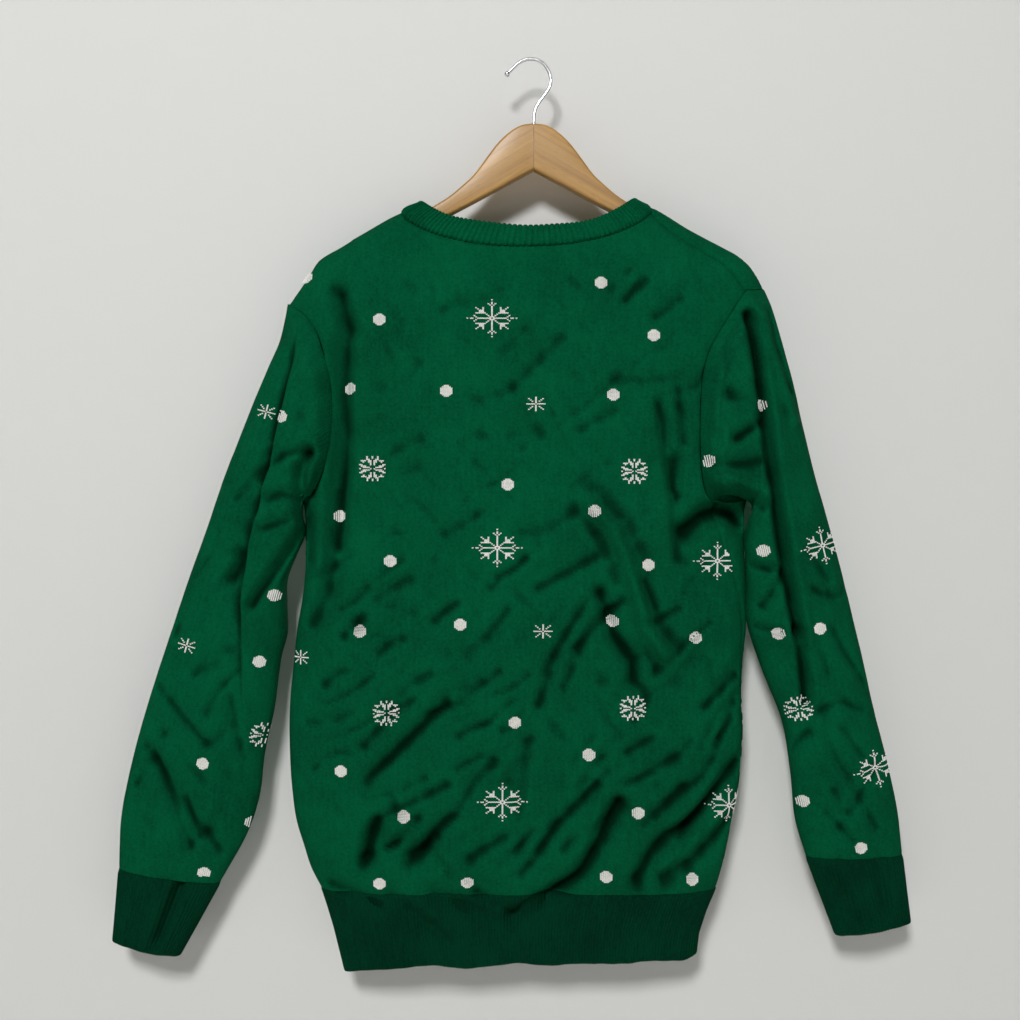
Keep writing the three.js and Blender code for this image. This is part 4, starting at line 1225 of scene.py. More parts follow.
@dataclass
class StitchSet:
    """White stitches gathered on one piece."""

    name: str
    points: list[np.ndarray] = field(default_factory=list)
    across: list[np.ndarray] = field(default_factory=list)
    outward: list[np.ndarray] = field(default_factory=list)

    def add(self, points: np.ndarray, across: np.ndarray, outward: np.ndarray) -> None:
        """Adds stitches: their places in millimetres and their directions."""
        self.points.append(points)
        self.across.append(across)
        self.outward.append(outward)

    def build(self, tree: bpy.types.NodeTree, keys: dict, finish: bpy.types.Material) -> bpy.types.Object:
        """Knits the gathered stitches as one piece.

        Args:
            tree: the stitch tree.
            keys: its inputs.
            finish: the yarn's material.

        Returns:
            The object.
        """
        mesh = bpy.data.meshes.new(self.name)
        places = np.concatenate(self.points)
        mesh.vertices.add(len(places))
        mesh.vertices.foreach_set("co", (places * MM).astype(np.float32).ravel())
        for label, rows in (("across", self.across), ("outward", self.outward)):
            data = mesh.attributes.new(label, "FLOAT_VECTOR", "POINT").data
            data.foreach_set("vector", np.concatenate(rows).astype(np.float32).ravel())
        return grow(linked(self.name, mesh), tree, keys, {"Finish": finish})


# The garment


@dataclass
class Panel:
    """The body's back or front: one knitted panel from the neck and shoulders to the hem seam."""

    side: Side
    finish: bpy.types.Material
    underarm_row: float = 0.36
    neck_left: float = -122
    neck_right: float = 108
    left_end: float = -229
    right_end: float = 195
    width: float = 400            # the sizes that its rows and columns are spaced by
    height: float = 540
    front_shift: float = 30       # how far the front's motifs stand from the back's, mirrored

    def armhole(self, t: np.ndarray, right: bool) -> tuple[np.ndarray, np.ndarray]:
        """An armhole edge at the fractions t, as places on the laid-out cloth."""
        if self.side is Side.FRONT:
            return front_right_edge(t) if right else LEFT_ARMHOLE_FRONT(t)
        x, z = (RIGHT_ARMHOLE_BACK if right else LEFT_ARMHOLE_BACK)(t)
        return x, flat_q(x, z)

    def side_edge(self, v: np.ndarray, right: bool) -> tuple[np.ndarray, np.ndarray]:
        """A side edge: the armhole above, the side seam below.

        Args:
            v: fractions of the way down.
            right: which side.

        Returns:
            Places across and up the laid-out cloth.
        """
        hole_p, hole_q = self.armhole(np.minimum(v / self.underarm_row, 1), right)
        start = RIGHT_UNDERARM_Z if right else LEFT_UNDERARM_Z
        z = mix(start, BODY_SEAM_Z, np.maximum(v - self.underarm_row, 0) / (1 - self.underarm_row))
        upper = v < self.underarm_row
        return np.where(upper, hole_p, side_seam(z, self.side, right)), np.where(upper, hole_q, z)

    def top_edge(self, x: np.ndarray) -> np.ndarray:
        """The top edge's place up the laid-out cloth: left seam, neck and right seam.

        Args:
            x: places across.

        Returns:
            Places up.
        """
        sign = self.side.value
        ridge = SHOULDER_Z(x) + TOP_ROUND
        right = ridge + sign * (ridge - flat_q(x, SHOULDER_SEAM_Z(x)))
        left = ridge + sign * mix(4.5, 1, (self.neck_left - x) / (self.neck_left - self.left_end))
        t = (x - self.neck_left) / (self.neck_right - self.neck_left)
        dip = dip_shape(2 * t - 1, self.side) * (32.5 if sign < 0 else 85)
        down = ridge - flat_q(x, mix(-142.5, -141, t) - dip)
        neck = ridge - down
        if self.side is Side.FRONT:
            neck = neck + 2 * mix(4.5, 8.4, t) * (1 - ease(dip / 25))
        return np.where(x >= self.neck_right, right, np.where(x <= self.neck_left, left, neck))

    def place(self, m: np.ndarray, v: np.ndarray) -> tuple[np.ndarray, np.ndarray]:
        """Places on the laid-out cloth.

        Args:
            m: fractions across the panel.
            v: fractions down it.

        Returns:
            Places across and up.
        """
        left_p, left_q = self.side_edge(v, False)
        right_p, right_q = self.side_edge(v, True)
        top_left, top_right = self.armhole(np.array(0.0), False), self.armhole(np.array(0.0), True)
        lift = self.top_edge(mix(top_left[0], top_right[0], m)) - mix(top_left[1], top_right[1], m)
        p = mix(left_p + SEAM_GAP / 2, right_p - SEAM_GAP / 2, m)
        q = mix(left_q, right_q, m) + lift * np.minimum(1, 80 * m) * (1 - v) ** 4 - SEAM_GAP / 2
        return p, q

    def neck_span(self) -> tuple[float, float]:
        """The fractions across the panel where the neck starts and ends."""
        width = self.right_end - self.left_end
        return (self.neck_left - self.left_end) / width, (self.neck_right - self.left_end) / width

    def build(self) -> bpy.types.Object:
        """Builds the panel as a wall, its sewn edges drawn in.

        Returns:
            The object.
        """
        near = np.concatenate([[0, 0.7, 1.6, 3], np.arange(4.4, 40, 1.6)]) / self.width
        m = np.concatenate([near, np.linspace(0.103, 0.897, 138), 1 - near, self.neck_span()])
        v = np.concatenate([[0, 0.7, 1.5], np.arange(2.4, 46, 1.2), np.arange(47.5, 536, 2.55),
                            [537.5, 539, self.height]]) / self.height
        grid_m, grid_v = np.meshgrid(np.unique(m), v)
        p, q = self.place(grid_m, grid_v)
        outward = BODY.frame(p, q, self.side)[2]
        outer = BODY.point(p, q, self.side)
        sink = np.maximum(drawn_in(np.minimum(grid_m, 1 - grid_m) * self.width, SEAM_SINK),
                          drawn_in(grid_v * self.height, TOP_SINK))
        sink = np.maximum(sink, drawn_in((1 - grid_v) * self.height, RIB_SINK))
        outer = outer - outward * sink[..., None]
        name = "jumper_back" if self.side is Side.BACK else "jumper_front"
        return wall_object(name, outer, outer - outward * WALL, np.stack([p, q], -1) + 500, self.finish)

    def motifs(self, stitches: StitchSet) -> None:
        """Adds the panel's motifs to a set of stitches."""
        for motif, middles in BODY_MOTIFS.items():
            for middle in middles:
                p, q = from_photo(*middle)
                for _ in range(12):
                    found = BODY.point(np.array(p), np.array(q), Side.BACK)
                    x, z = from_photo(*middle, depth=-float(found[1]))
                    p, q = p + (x - found[0]) * 0.7, q + (z - found[2]) * 0.7
                p = p if self.side is Side.BACK else -p - self.front_shift
                self.knit_in(stitches, motif, float(p), float(q))

    def knit_in(self, stitches: StitchSet, motif: Motif, p: float, q: float) -> None:
        """Knits one motif into the panel, as far as its edges let it.

        Args:
            stitches: the set that takes its stitches.
            motif: which motif.
            p: its middle across the laid-out cloth.
            q: and up it.
        """
        cells = np.array(motif.cells(), dtype=float)
        ps = round(p / WALE) * WALE + cells[:, 0] * WALE
        qs = round(q / COURSE) * COURSE + cells[:, 1] * COURSE
        hole = np.clip((-227 - qs) / 178, 0, 1) * self.underarm_row
        below = (LEFT_UNDERARM_Z - qs) / (LEFT_UNDERARM_Z - BODY_SEAM_Z)
        seam = np.clip(mix(self.underarm_row, 1, below), 0, 1)
        v = np.where(qs > LEFT_UNDERARM_Z, hole, seam)
        inside = (ps > self.side_edge(v, False)[0] + 1) & (ps < self.side_edge(v, True)[0] - 1)
        inside &= (qs > BODY_SEAM_Z + 1.5) & (qs < self.top_edge(ps) - 1.5)
        ps, qs = ps[inside], qs[inside]
        if len(ps):
            across, _, outward = BODY.frame(ps, qs, self.side)
            stitches.add(BODY.point(ps, qs, self.side) + outward * STITCH_LIFT, across, outward)


LEFT_STATIONS = columns("w xo zo xi zi yi back front", [
    (0.00, -229, -227, -206, -405, -19, 0, 0), (0.04, -231, -241, -211, -407, -22, 16, 16),
    (0.09, -236, -262, -216, -413, -16, 22, 20), (0.15, -246, -286, -213, -425, -10, 26, 22),
    (0.22, -258, -314, -211, -440, -8, 28, 24), (0.29, -271, -347, -219, -459, -6, 28, 24),
    (0.37, -287, -388, -228, -482, -5, 27, 24), (0.45, -303, -435, -229, -505, -2, 25, 24),
    (0.53, -320, -482, -229, -532, 0, 23, 23), (0.61, -334, -524, -235, -557, 0, 22, 22),
    (0.70, -350, -572, -241, -602, 0, 21, 21), (0.79, -364, -618, -250, -644, 0, 21, 20),
    (0.87, -375, -661, -255, -684, 0, 20, 19), (0.94, -383, -704, -267, -720, 0, 18, 18),
    (1.00, -385, -750, -291, -763, 0, 16, 16)])
RIGHT_STATIONS = columns("w xo zo xi zi yi back front", [
    (0.00, 216, -215, 164, -411, -21, 0, 0), (0.04, 221, -230, 169, -405, -25, 18, 16),
    (0.08, 226, -247, 184, -405, -22, 24, 20), (0.13, 232, -270, 200, -413, -13, 27, 22),
    (0.19, 240, -300, 197, -427, -10, 29, 23), (0.26, 249, -340, 194, -444, -8, 30, 24),
    (0.34, 260, -385, 196, -462, -6, 29, 24), (0.42, 271, -423, 196.5, -485, -6, 27, 24),
    (0.50, 284, -470, 197, -520, -5, 25, 23), (0.60, 303, -548, 212, -566, -2, 24, 22),
    (0.70, 315, -601, 231, -614, 0, 22, 21), (0.80, 327, -648, 239, -662, 0, 21, 20),
    (0.90, 337, -694, 243, -704, 0, 19, 18), (1.00, 342, -737, 253, -739, 0, 16, 16)])


@dataclass
class Sleeve:
    """One sleeve: a knitted tube from the armhole to the cuff seam."""

    name: str
    right: bool
    finish: bpy.types.Material
    rings: int = 200
    around: int = 192
    fade: float = 0.3
    length: float = 560           # the size that its sewn ends are drawn in by
    armhole_sink: float = 0.8

    @property
    def stations(self) -> dict[str, Smooth]:
        """The sleeve's table of stations."""
        return RIGHT_STATIONS if self.right else LEFT_STATIONS

    def seam(self, c: np.ndarray, back: bool) -> np.ndarray:
        """The armhole seam's points on one half.

        Args:
            c: fractions from the sleeve's outer edge to its inner one.
            back: which half.

        Returns:
            The points.
        """
        if not back:
            p, q = (RIGHT_ARMHOLE_FRONT if self.right else LEFT_ARMHOLE_FRONT)(c)
            return BODY.point(p, q, Side.FRONT)
        if not self.right:
            x, z = LEFT_ARMHOLE_BACK(c)
        else:
            end = RIGHT_SHOULDER_END(np.minimum(c / RIGHT_SHOULDER_PART, 1))
            hole = RIGHT_ARMHOLE_BACK(np.maximum((c - RIGHT_SHOULDER_PART) / (1 - RIGHT_SHOULDER_PART), 0))
            x, z = (np.where(c < RIGHT_SHOULDER_PART, a, b) for a, b in zip(end, hole))
        return BODY.point(x, flat_q(x, z), Side.BACK)

    def point(self, w: np.ndarray, angle: np.ndarray) -> np.ndarray:
        """Points of the sleeve's outer surface.

        Args:
            w: fractions from the armhole to the cuff.
            angle: the turn from the outer edge round the back.

        Returns:
            The points.
        """
        w, angle = np.broadcast_arrays(np.asarray(w, float), np.asarray(angle, float))
        read = {name: curve(w) for name, curve in self.stations.items()}
        start = {name: curve(0.0) for name, curve in self.stations.items()}
        c = (1 - np.cos(angle)) / 2
        back = np.sin(angle) >= 0
        swell = np.abs(np.sin(angle)) ** 0.8

        def tube(at: dict[str, np.ndarray]) -> np.ndarray:
            """The plain tube's points at one reading of the table."""
            half = np.where(back, -at["back"], at["front"]) * swell
            return np.stack([mix(at["xo"], at["xi"], c), mix(0, at["yi"], c) + half,
                             mix(at["zo"], at["zi"], c)], axis=-1)

        point = tube(read)
        seam = np.where(back[..., None], self.seam(c, True), self.seam(c, False))
        fade = np.maximum(0, 1 - w / self.fade) ** 2
        point = point + (seam - tube(start)) * fade[..., None]
        x, z = point[..., 0].copy(), point[..., 2].copy()
        push = pushed(RIGHT_ARM_CREASES if self.right else LEFT_ARM_CREASES, x, z) + WRINKLES.push(x + 90, z)
        if not self.right:
            push = push + LEFT_FLAP.push(x, z)
        push = push * np.minimum(1, w * 25)
        soft = WRINKLES.push(point[..., 2], point[..., 0])
        point[..., 1] += np.where(back, push, -soft) * ease(swell * 1.6)
        return point

    def frame(self, w: np.ndarray, angle: np.ndarray) -> tuple[np.ndarray, ...]:
        """The directions round, along and out of the sleeve.

        Args:
            w: fractions from the armhole to the cuff.
            angle: turns from the outer edge.

        Returns:
            Three arrays of directions.
        """
        round_step, along_step = 0.01, 0.0015
        around = (self.point(w, angle + round_step) - self.point(w, angle - round_step)) / (2 * round_step)
        low = np.maximum(w - along_step, 0)
        reach = (w + along_step - low)[..., None]
        along = (self.point(w + along_step, angle) - self.point(low, angle)) / reach
        sign = 1 if self.right else -1
        outward = unit(np.cross(around, along)) * sign
        return unit(around), unit(along), outward

    def grid(self) -> tuple[np.ndarray, np.ndarray]:
        """The sleeve's rings and the turns round them."""
        w = np.concatenate([[0.0005, 0.0025, 0.006, 0.011], np.linspace(0.017, 0.994, self.rings),
                            [0.997, 1.0]])
        return np.meshgrid(w, np.arange(self.around) * 2 * np.pi / self.around, indexing="ij")

    def build(self) -> bpy.types.Object:
        """Builds the sleeve as a wall, its sewn ends drawn in.

        Returns:
            The object.
        """
        w, angle = self.grid()
        outer = self.point(w, angle)
        outward = self.frame(w, angle)[2]
        past_seam = ease(w / 0.02)[..., None]
        flat = np.zeros_like(outward)
        flat[..., 1] = np.where(np.sin(angle) >= 0, -1, 1)
        outward = unit(outward * past_seam + flat * (1 - past_seam) * 0.6 + outward * 0.4 * (1 - past_seam))
        sink = np.maximum(drawn_in(w * self.length, self.armhole_sink),
                          drawn_in((1 - w) * self.length, RIB_SINK))
        outer = outer - outward * sink[..., None]
        axis = self.axis()
        step = np.roll(outer, -1, axis=1) - outer
        across = np.sqrt(np.maximum(np.sum(step ** 2, axis=-1) - (step @ axis) ** 2, 0))
        girth = np.concatenate([np.zeros((len(w), 1)), np.cumsum(across, axis=1)], axis=1)
        down = np.concatenate([outer @ axis, outer[:, :1] @ axis], axis=1)
        return wall_object(self.name, outer, outer - outward * WALL, np.stack([girth, 900 - down], -1),
                           self.finish, round_columns=True)

    def axis(self) -> np.ndarray:
        """The direction down the sleeve."""
        ends = [[mix(float(self.stations["xo"](w)), float(self.stations["xi"](w)), 0.5), 0,
                 mix(float(self.stations["zo"](w)), float(self.stations["zi"](w)), 0.5)] for w in (0.1, 1)]
        return unit(np.array(ends[1]) - np.array(ends[0]))

    def motifs(self, stitches: StitchSet) -> None:
        """Adds the sleeve's motifs to a set of stitches, and as many on its hidden half."""
        w, angle = self.grid()
        points = self.point(w, angle)
        for motif, middles in (RIGHT_ARM_MOTIFS if self.right else LEFT_ARM_MOTIFS).items():
            for middle in middles:
                for back in (True, False):
                    half = (np.sin(angle) > 0.08) if back else (np.sin(angle) < -0.08)
                    self.knit_in(stitches, motif, from_photo(*middle), (w[half], angle[half], points[half]))

    def knit_in(self, stitches: StitchSet, motif: Motif, middle: tuple[float, float],
                half: tuple[np.ndarray, np.ndarray, np.ndarray]) -> None:
        """Knits one motif into one half of the sleeve, square to the sleeve's length.

        Args:
            stitches: the set that takes its stitches.
            motif: which motif.
            middle: its middle in x and z.
            half: the fractions, turns and points of that half's grid.
        """
        w, angle, points = half
        axis = self.axis()
        cells = np.array(motif.cells(), dtype=float)
        x = middle[0] - axis[2] * cells[:, 0] * WALE - axis[0] * cells[:, 1] * COURSE
        z = middle[1] + axis[0] * cells[:, 0] * WALE - axis[2] * cells[:, 1] * COURSE
        away = np.hypot(points[:, 0] - x[:, None], points[:, 2] - z[:, None])
        nearest = np.argmin(away, axis=1)
        here = (away[np.arange(len(x)), nearest] < 2.4) & (w[nearest] > 0.006) & (w[nearest] < 0.994)
        nearest, x, z = nearest[here], x[here], z[here]
        if len(nearest) == 0:
            return
        outward = self.frame(w[nearest], angle[nearest])[2]
        outward = np.where(np.abs(outward[:, 1:2]) < 0.3, np.nan, outward)
        y = points[nearest, 1] - ((x - points[nearest, 0]) * outward[:, 0]
                                  + (z - points[nearest, 2]) * outward[:, 2]) / outward[:, 1]
        kept = np.isfinite(y)
        outward = outward[kept]
        place = np.stack([x, y, z], -1)[kept] + outward * STITCH_LIFT
        stitches.add(place, unit(np.cross(outward, axis)), outward)


@dataclass
class Band:
    """A ribbed band: a closed section carried round an edge, with ribs raised on it."""

    finish: bpy.types.Material
    tree: bpy.types.NodeTree
    keys: dict
    wall: float = 2.0
    points_a_rib: int = 6

    def section(self, rows: int) -> list[tuple[float, float]]:
        """The band's section: fractions along it and how far in from its outer face.

        Args:
            rows: how many steps each face has.

        Returns:
            Pairs, down the outer face, round the free edge and back up inside.
        """
        down = [(t, 0.0) for t in np.linspace(0, 1, rows)]
        down[0] = (0.0, SEAM_SINK * 0.8)
        turn = [(1.0 + 0.5 * math.sin(math.pi * k / 4), 0.5 - 0.5 * math.cos(math.pi * k / 4))
                for k in (1, 2, 3)]
        back = [(t, 1.0) for t in np.linspace(1, 0, max(rows // 3, 3))]
        walled = [(t, inset * self.wall) for t, inset in turn + back]
        return down + walled

    def build(self, name: str, start: np.ndarray, end: np.ndarray, out_start: np.ndarray, out_end: np.ndarray,
              rows: int, ribs: int, height: float, push=None) -> bpy.types.Object:
        """Builds the band between two rings of outer points.

        Args:
            name: the object's name.
            start: the sewn edge's points, in millimetres.
            end: the free edge's points.
            out_start: directions out of the cloth at the sewn edge.
            out_end: and at the free edge.
            rows: how many steps each face has.
            ribs: how many ribs go round.
            height: how far a rib is raised, in millimetres.
            push: a function that moves a grid's points, given their fractions along the band.

        Returns:
            The object.
        """
        along_size = np.mean(np.linalg.norm(end - start, axis=-1))
        rings, heights = [], []
        for t, inset in self.section(rows):
            past = (t - 1) * self.wall if t > 1 else 0.0
            level = min(t, 1.0)
            point = mix(start, end, level)
            direction = unit(mix(out_start, out_end, level))
            point = point + unit(end - start) * past - direction * inset
            if push is not None:
                point = push(point, level)
            rings.append(point)
            heights.append(-level * along_size - inset * 0.5)
        rings = np.array(rings)
        middle = mix(start, end, 0.5)
        around, up = np.meshgrid(girth_of(middle), np.array(heights))
        turn = np.arange(len(start)) * ribs / len(start)
        piece = ring_object(name, rings, np.stack([around, up + 100], -1), self.finish, turn)
        return grow(piece, self.tree, self.keys, {"Rib height": height * MM, "Finish": self.finish})


LEFT_CUFF_END = {"xo": -390.5, "zo": -815.5, "xi": -328, "zi": -830}
RIGHT_CUFF_END = {"xo": 349.5, "zo": -798.5, "xi": 280, "zi": -811}


@dataclass
class Cuff(Band):
    """A cuff: a ribbed tube on from a sleeve's last ring."""

    depth: float = 14.0
    ribs: int = 68

    def make(self, name: str, sleeve: Sleeve, end: dict[str, float]) -> bpy.types.Object:
        """Builds the cuff of a sleeve.

        Args:
            name: the object's name.
            sleeve: the sleeve.
            end: the places of its free edge, outer and inner.

        Returns:
            The object.
        """
        top = {key: float(curve(1.0)) for key, curve in sleeve.stations.items()}
        angle = np.arange(self.ribs * self.points_a_rib) * 2 * np.pi / (self.ribs * self.points_a_rib)
        c = (1 - np.cos(angle)) / 2
        swell = -np.sign(np.sin(angle)) * np.abs(np.sin(angle)) ** 0.8
        start = np.stack([mix(top["xo"], top["xi"], c), top["back"] * swell,
                          mix(top["zo"], top["zi"], c) - SEAM_GAP], -1)
        free = np.stack([mix(end["xo"], end["xi"], c), self.depth * swell, mix(end["zo"], end["zi"], c)], -1)
        outs = []
        for ring in (start, free):
            along = np.roll(ring, -1, 0) - np.roll(ring, 1, 0)
            outward = unit(np.cross(along, unit(free - start)))
            outs.append(outward * np.sign(np.sum(outward * (ring - ring.mean(0)))))

        def crumple(point: np.ndarray, level: float) -> np.ndarray:
            """Presses the cuff's creases into its back half."""
            push = pushed(CUFF_CREASES, point[:, 0], point[:, 2]) * np.clip(-swell, 0, 1)
            wave = 0.5 * np.sin(angle * 5 + level * 2.5) + 0.35 * np.sin(angle * 11 + 1)
            return point + np.stack([0 * push, push + wave * level, 0 * push], -1)

        return self.build(name, start, free, outs[0], outs[1], 16, self.ribs, 0.75, crumple)


HEM_EDGE_Z = Smooth([
    (-185, -845), (-172, -844), (-154, -840), (-133, -838), (-89, -833), (-61, -836), (-34, -833),
    (-16, -830.5), (9, -833), (36, -831.5), (77, -831.5),
    (102, -829.5), (132, -831.5), (146, -828.5), (160, -826)])


@dataclass
class Hem(Band):
    """The hem rib: a ribbed tube round the body, on from the hem seam."""

    ribs: int = 248
    rows: int = 18
    length: float = 70.0

    def make(self) -> bpy.types.Object:
        """Builds the hem rib.

        Returns:
            The object.
        """
        count = self.ribs * self.points_a_rib
        turn = np.arange(count) * 2 / count
        across = np.where(turn < 1, turn, 2 - turn)
        levels, rings, outs = np.linspace(0, 1, self.rows), [], []
        for level in levels:
            rough = mix(SIDES["left"](-830.0), SIDES["right"](-828.0), across)
            z = mix(BODY_SEAM_Z - 0.5, HEM_EDGE_Z(rough), level)
            p = mix(SIDES["left"](z) - SIDE_ROUND, SIDES["right"](z) + SIDE_ROUND, across)
            back = turn < 1
            point = np.where(back[:, None], BODY.point(p, z, Side.BACK), BODY.point(p, z, Side.FRONT))
            out = np.where(back[:, None], BODY.frame(p, z, Side.BACK)[2], BODY.frame(p, z, Side.FRONT)[2])
            rings.append(point)
            outs.append(out)
        rings, outs = np.array(rings), np.array(outs)
        rings[0] -= outs[0] * SEAM_SINK * 0.8
        edge = [rings[-1] - outs[-1] * self.wall * (0.5 - 0.5 * math.cos(math.pi * k / 4))
                - np.array([0, 0, 0.5 * self.wall * math.sin(math.pi * k / 4)]) for k in (1, 2, 3)]
        picks = [self.rows - 1, self.rows * 2 // 3, self.rows // 3, 0]
        inner = [rings[i] - outs[i] * self.wall for i in picks]
        whole = np.concatenate([rings, np.array(edge), np.array(inner)])
        heights = np.concatenate([-levels * self.length, [-self.length - 1] * 3,
                                  [-levels[i] * self.length for i in picks]])
        middle = rings[self.rows // 2]
        around, up = np.meshgrid(girth_of(middle), heights)
        piece = ring_object("jumper_hem_rib", whole, np.stack([around, up + 100], -1), self.finish,
                            np.arange(count) * self.ribs / count)
        return grow(piece, self.tree, self.keys, {"Rib height": 0.7 * MM, "Finish": self.finish})


COLLAR_TOP_Z = Smooth([
    (-105.5, -133.5), (-96, -140), (-81, -147.5), (-63, -152), (-36, -155.8), (-8, -158.2), (17, -157.2),
    (44, -154.7), (61, -150), (79, -141), (94.5, -131)])


@dataclass
class Collar(Band):
    """The neck rib: a band that stands up from the neck seam and leans in."""

    ribs: int = 128
    left: float = -105.5
    right: float = 94.5
    front_dip: float = 80
    half_depth: float = 15.5

    def make(self, back: Panel, front: Panel) -> bpy.types.Object:
        """Builds the neck rib on the neck edges of the two panels.

        Args:
            back: the back panel.
            front: the front panel.

        Returns:
            The object.
        """
        count = self.ribs * self.points_a_rib
        angle = np.arange(count) * 2 * np.pi / count
        on_back = np.sin(angle) >= 0
        across = (1 - np.cos(angle)) / 2
        start, outward = np.zeros((count, 3)), np.zeros((count, 3))
        for panel, mask in ((back, on_back), (front, ~on_back)):
            first, last = panel.neck_span()
            p, q = panel.place(mix(first, last, across[mask]), np.zeros(mask.sum()))
            outward[mask] = BODY.frame(p, q, panel.side)[2]
            start[mask] = BODY.point(p, q - 1.2, panel.side) + outward[mask] * 0.3
        x = mix(self.left, self.right, across)
        front_z = mix(-132.5, -130, across) - self.front_dip * dip_shape(2 * across - 1, Side.FRONT)
        y = np.where(on_back, -1, 1) * self.half_depth * np.abs(np.sin(angle)) ** 0.35
        end = np.stack([x, y, np.where(on_back, COLLAR_TOP_Z(x), front_z)], -1)
        along = np.roll(end, -1, 0) - np.roll(end, 1, 0)
        out_end = unit(np.cross(along, end - start))
        out_end *= np.sign(np.sum(out_end * outward, axis=-1, keepdims=True))

        def belly(point: np.ndarray, level: float) -> np.ndarray:
            """Lets the band swell a little between its edges."""
            return point + outward * 1.6 * math.sin(math.pi * min(level * 1.15, 1))

        return self.build("jumper_neck_rib", start, end, outward, out_end, 10, self.ribs, 1.5, belly)


# The hanger


@dataclass
class Hanger:
    """A wooden coat hanger in two halves, with a wire hook that ends in a ball."""

    beech: bpy.types.Material
    wire: bpy.types.Material
    thickness: float = 12
    rounding: float = 2.6
    joint_gap: float = 0.3
    arm_slope: float = 31
    wire_radius: float = 1.6
    ball_radius: float = 2.7
    top: tuple = ((0, -59.5), (12, -61.5), (23, -68), (34, -78.5), (45, -93), (55, -106.5), (66, -117),
                  (78, -127), (93, -136.5), (118, -151.5), (144, -165.5), (176, -183),
                  (188, -190), (196, -196.5))
    tip: tuple = ((200, -200), (201.5, -204), (200.5, -209), (196, -213))
    under: tuple = ((186, -211.5), (150, -189), (93, -153), (46, -127.5), (0, -102.5))
    hook: tuple = ((-24.5, -12.5), (-20.5, -8.6), (-15.5, -3), (-9, 0.7), (-2, 1.7), (4, 0.6), (9.5, -3),
                   (14, -9.5), (16.6, -17), (15.4, -25), (10.2, -32.6), (4, -40), (0.6, -47), (0, -56),
                   (0, -70.5))

    def outline(self) -> list[tuple[float, float]]:
        """A half's outline from the top of the joint round to its bottom.

        Returns:
            Places in x and z.
        """
        upper, lower = Smooth(list(self.top)), Smooth(list(self.under))
        start = self.joint_gap / 2
        over = [(x, float(upper(x))) for x in np.linspace(start, self.top[-1][0], 50)]
        below = [(x, float(lower(x))) for x in np.linspace(self.under[0][0], start, 40)]
        return over + list(self.tip) + below

    def half(self, way: int) -> bpy.types.Object:
        """Builds one half of the wood with rounded edges.

        Args:
            way: 1 for the right half, -1 for the left.

        Returns:
            The object.
        """
        name = "hanger_right_half" if way > 0 else "hanger_left_half"
        work = bmesh.new()
        ring = [work.verts.new((x * way * MM, -self.thickness / 2 * MM, z * MM)) for x, z in self.outline()]
        face = work.faces.new(ring)
        moved = bmesh.ops.extrude_face_region(work, geom=[face])
        verts = [item for item in moved["geom"] if isinstance(item, bmesh.types.BMVert)]
        bmesh.ops.translate(work, verts=verts, vec=(0, self.thickness * MM, 0))
        bmesh.ops.recalc_face_normals(work, faces=work.faces)
        weight = work.edges.layers.float.new("bevel_weight_edge")
        for edge in work.edges:
            level = abs(edge.verts[0].co.y - edge.verts[1].co.y) < 1e-6
            outside = max(abs(vert.co.x) for vert in edge.verts) > 0.001
            edge[weight] = 1.0 if level and outside else 0.0
        mesh = bpy.data.meshes.new(name)
        work.to_mesh(mesh)
        work.free()
        piece = linked(name, mesh)
        bevel = piece.modifiers.new("Rounded edges", "BEVEL")
        bevel.width = self.rounding * MM
        bevel.segments = 5
        bevel.limit_method = "WEIGHT"
        bevel.use_clamp_overlap = False
        piece.data = finished_mesh(piece)
        piece.modifiers.clear()
        self.grain(piece.data, way)
        piece.data.shade_smooth()
        piece.data.set_sharp_from_angle(angle=math.radians(40))
        piece.data.materials.clear()
        piece.data.materials.append(self.beech)
        return piece

    def grain(self, mesh: bpy.types.Mesh, way: int) -> None:
        """Lays the grain along a half's arm, in the Cloth map.

        Args:
            mesh: the half's mesh.
            way: 1 for the right half, -1 for the left.
        """
        slope = math.radians(self.arm_slope)
        layer = mesh.uv_layers.new(name="Cloth")
        for loop in mesh.loops:
            x, y, z = mesh.vertices[loop.vertex_index].co
            along = x * way * math.cos(slope) - z * math.sin(slope)
            across = x * way * math.sin(slope) + z * math.cos(slope)
            layer.data[loop.index].uv = (along + (0.4 if way > 0 else 0.0), across + y * 0.7)

    def wire_hook(self) -> bpy.types.Object:
        """Builds the wire hook and its ball as one piece.

        Returns:
            The object.
        """
        curve = bpy.data.curves.new("hook_line", "CURVE")
        curve.dimensions = "3D"
        curve.bevel_depth = self.wire_radius * MM
        curve.bevel_resolution = 5
        curve.resolution_u = 8
        curve.use_fill_caps = True
        spline = curve.splines.new("NURBS")
        spline.points.add(len(self.hook) - 1)
        for point, (x, z) in zip(spline.points, self.hook):
            point.co = (x * MM, 0, z * MM, 1)
        spline.use_endpoint_u = True
        spline.order_u = 4
        shape = linked("hook_line", curve)
        mesh = finished_mesh(shape)
        bpy.data.objects.remove(shape)
        work = bmesh.new()
        work.from_mesh(mesh)
        place = Matrix.Translation((self.hook[0][0] * MM, 0, self.hook[0][1] * MM))
        bmesh.ops.create_uvsphere(work, u_segments=28, v_segments=18, radius=self.ball_radius * MM,
                                  matrix=place)
        bmesh.ops.recalc_face_normals(work, faces=work.faces)
        work.to_mesh(mesh)
        work.free()
        mesh.shade_smooth()
        mesh.materials.clear()
        mesh.materials.append(self.wire)
        return linked("hanger_wire_hook", mesh)


# The studio


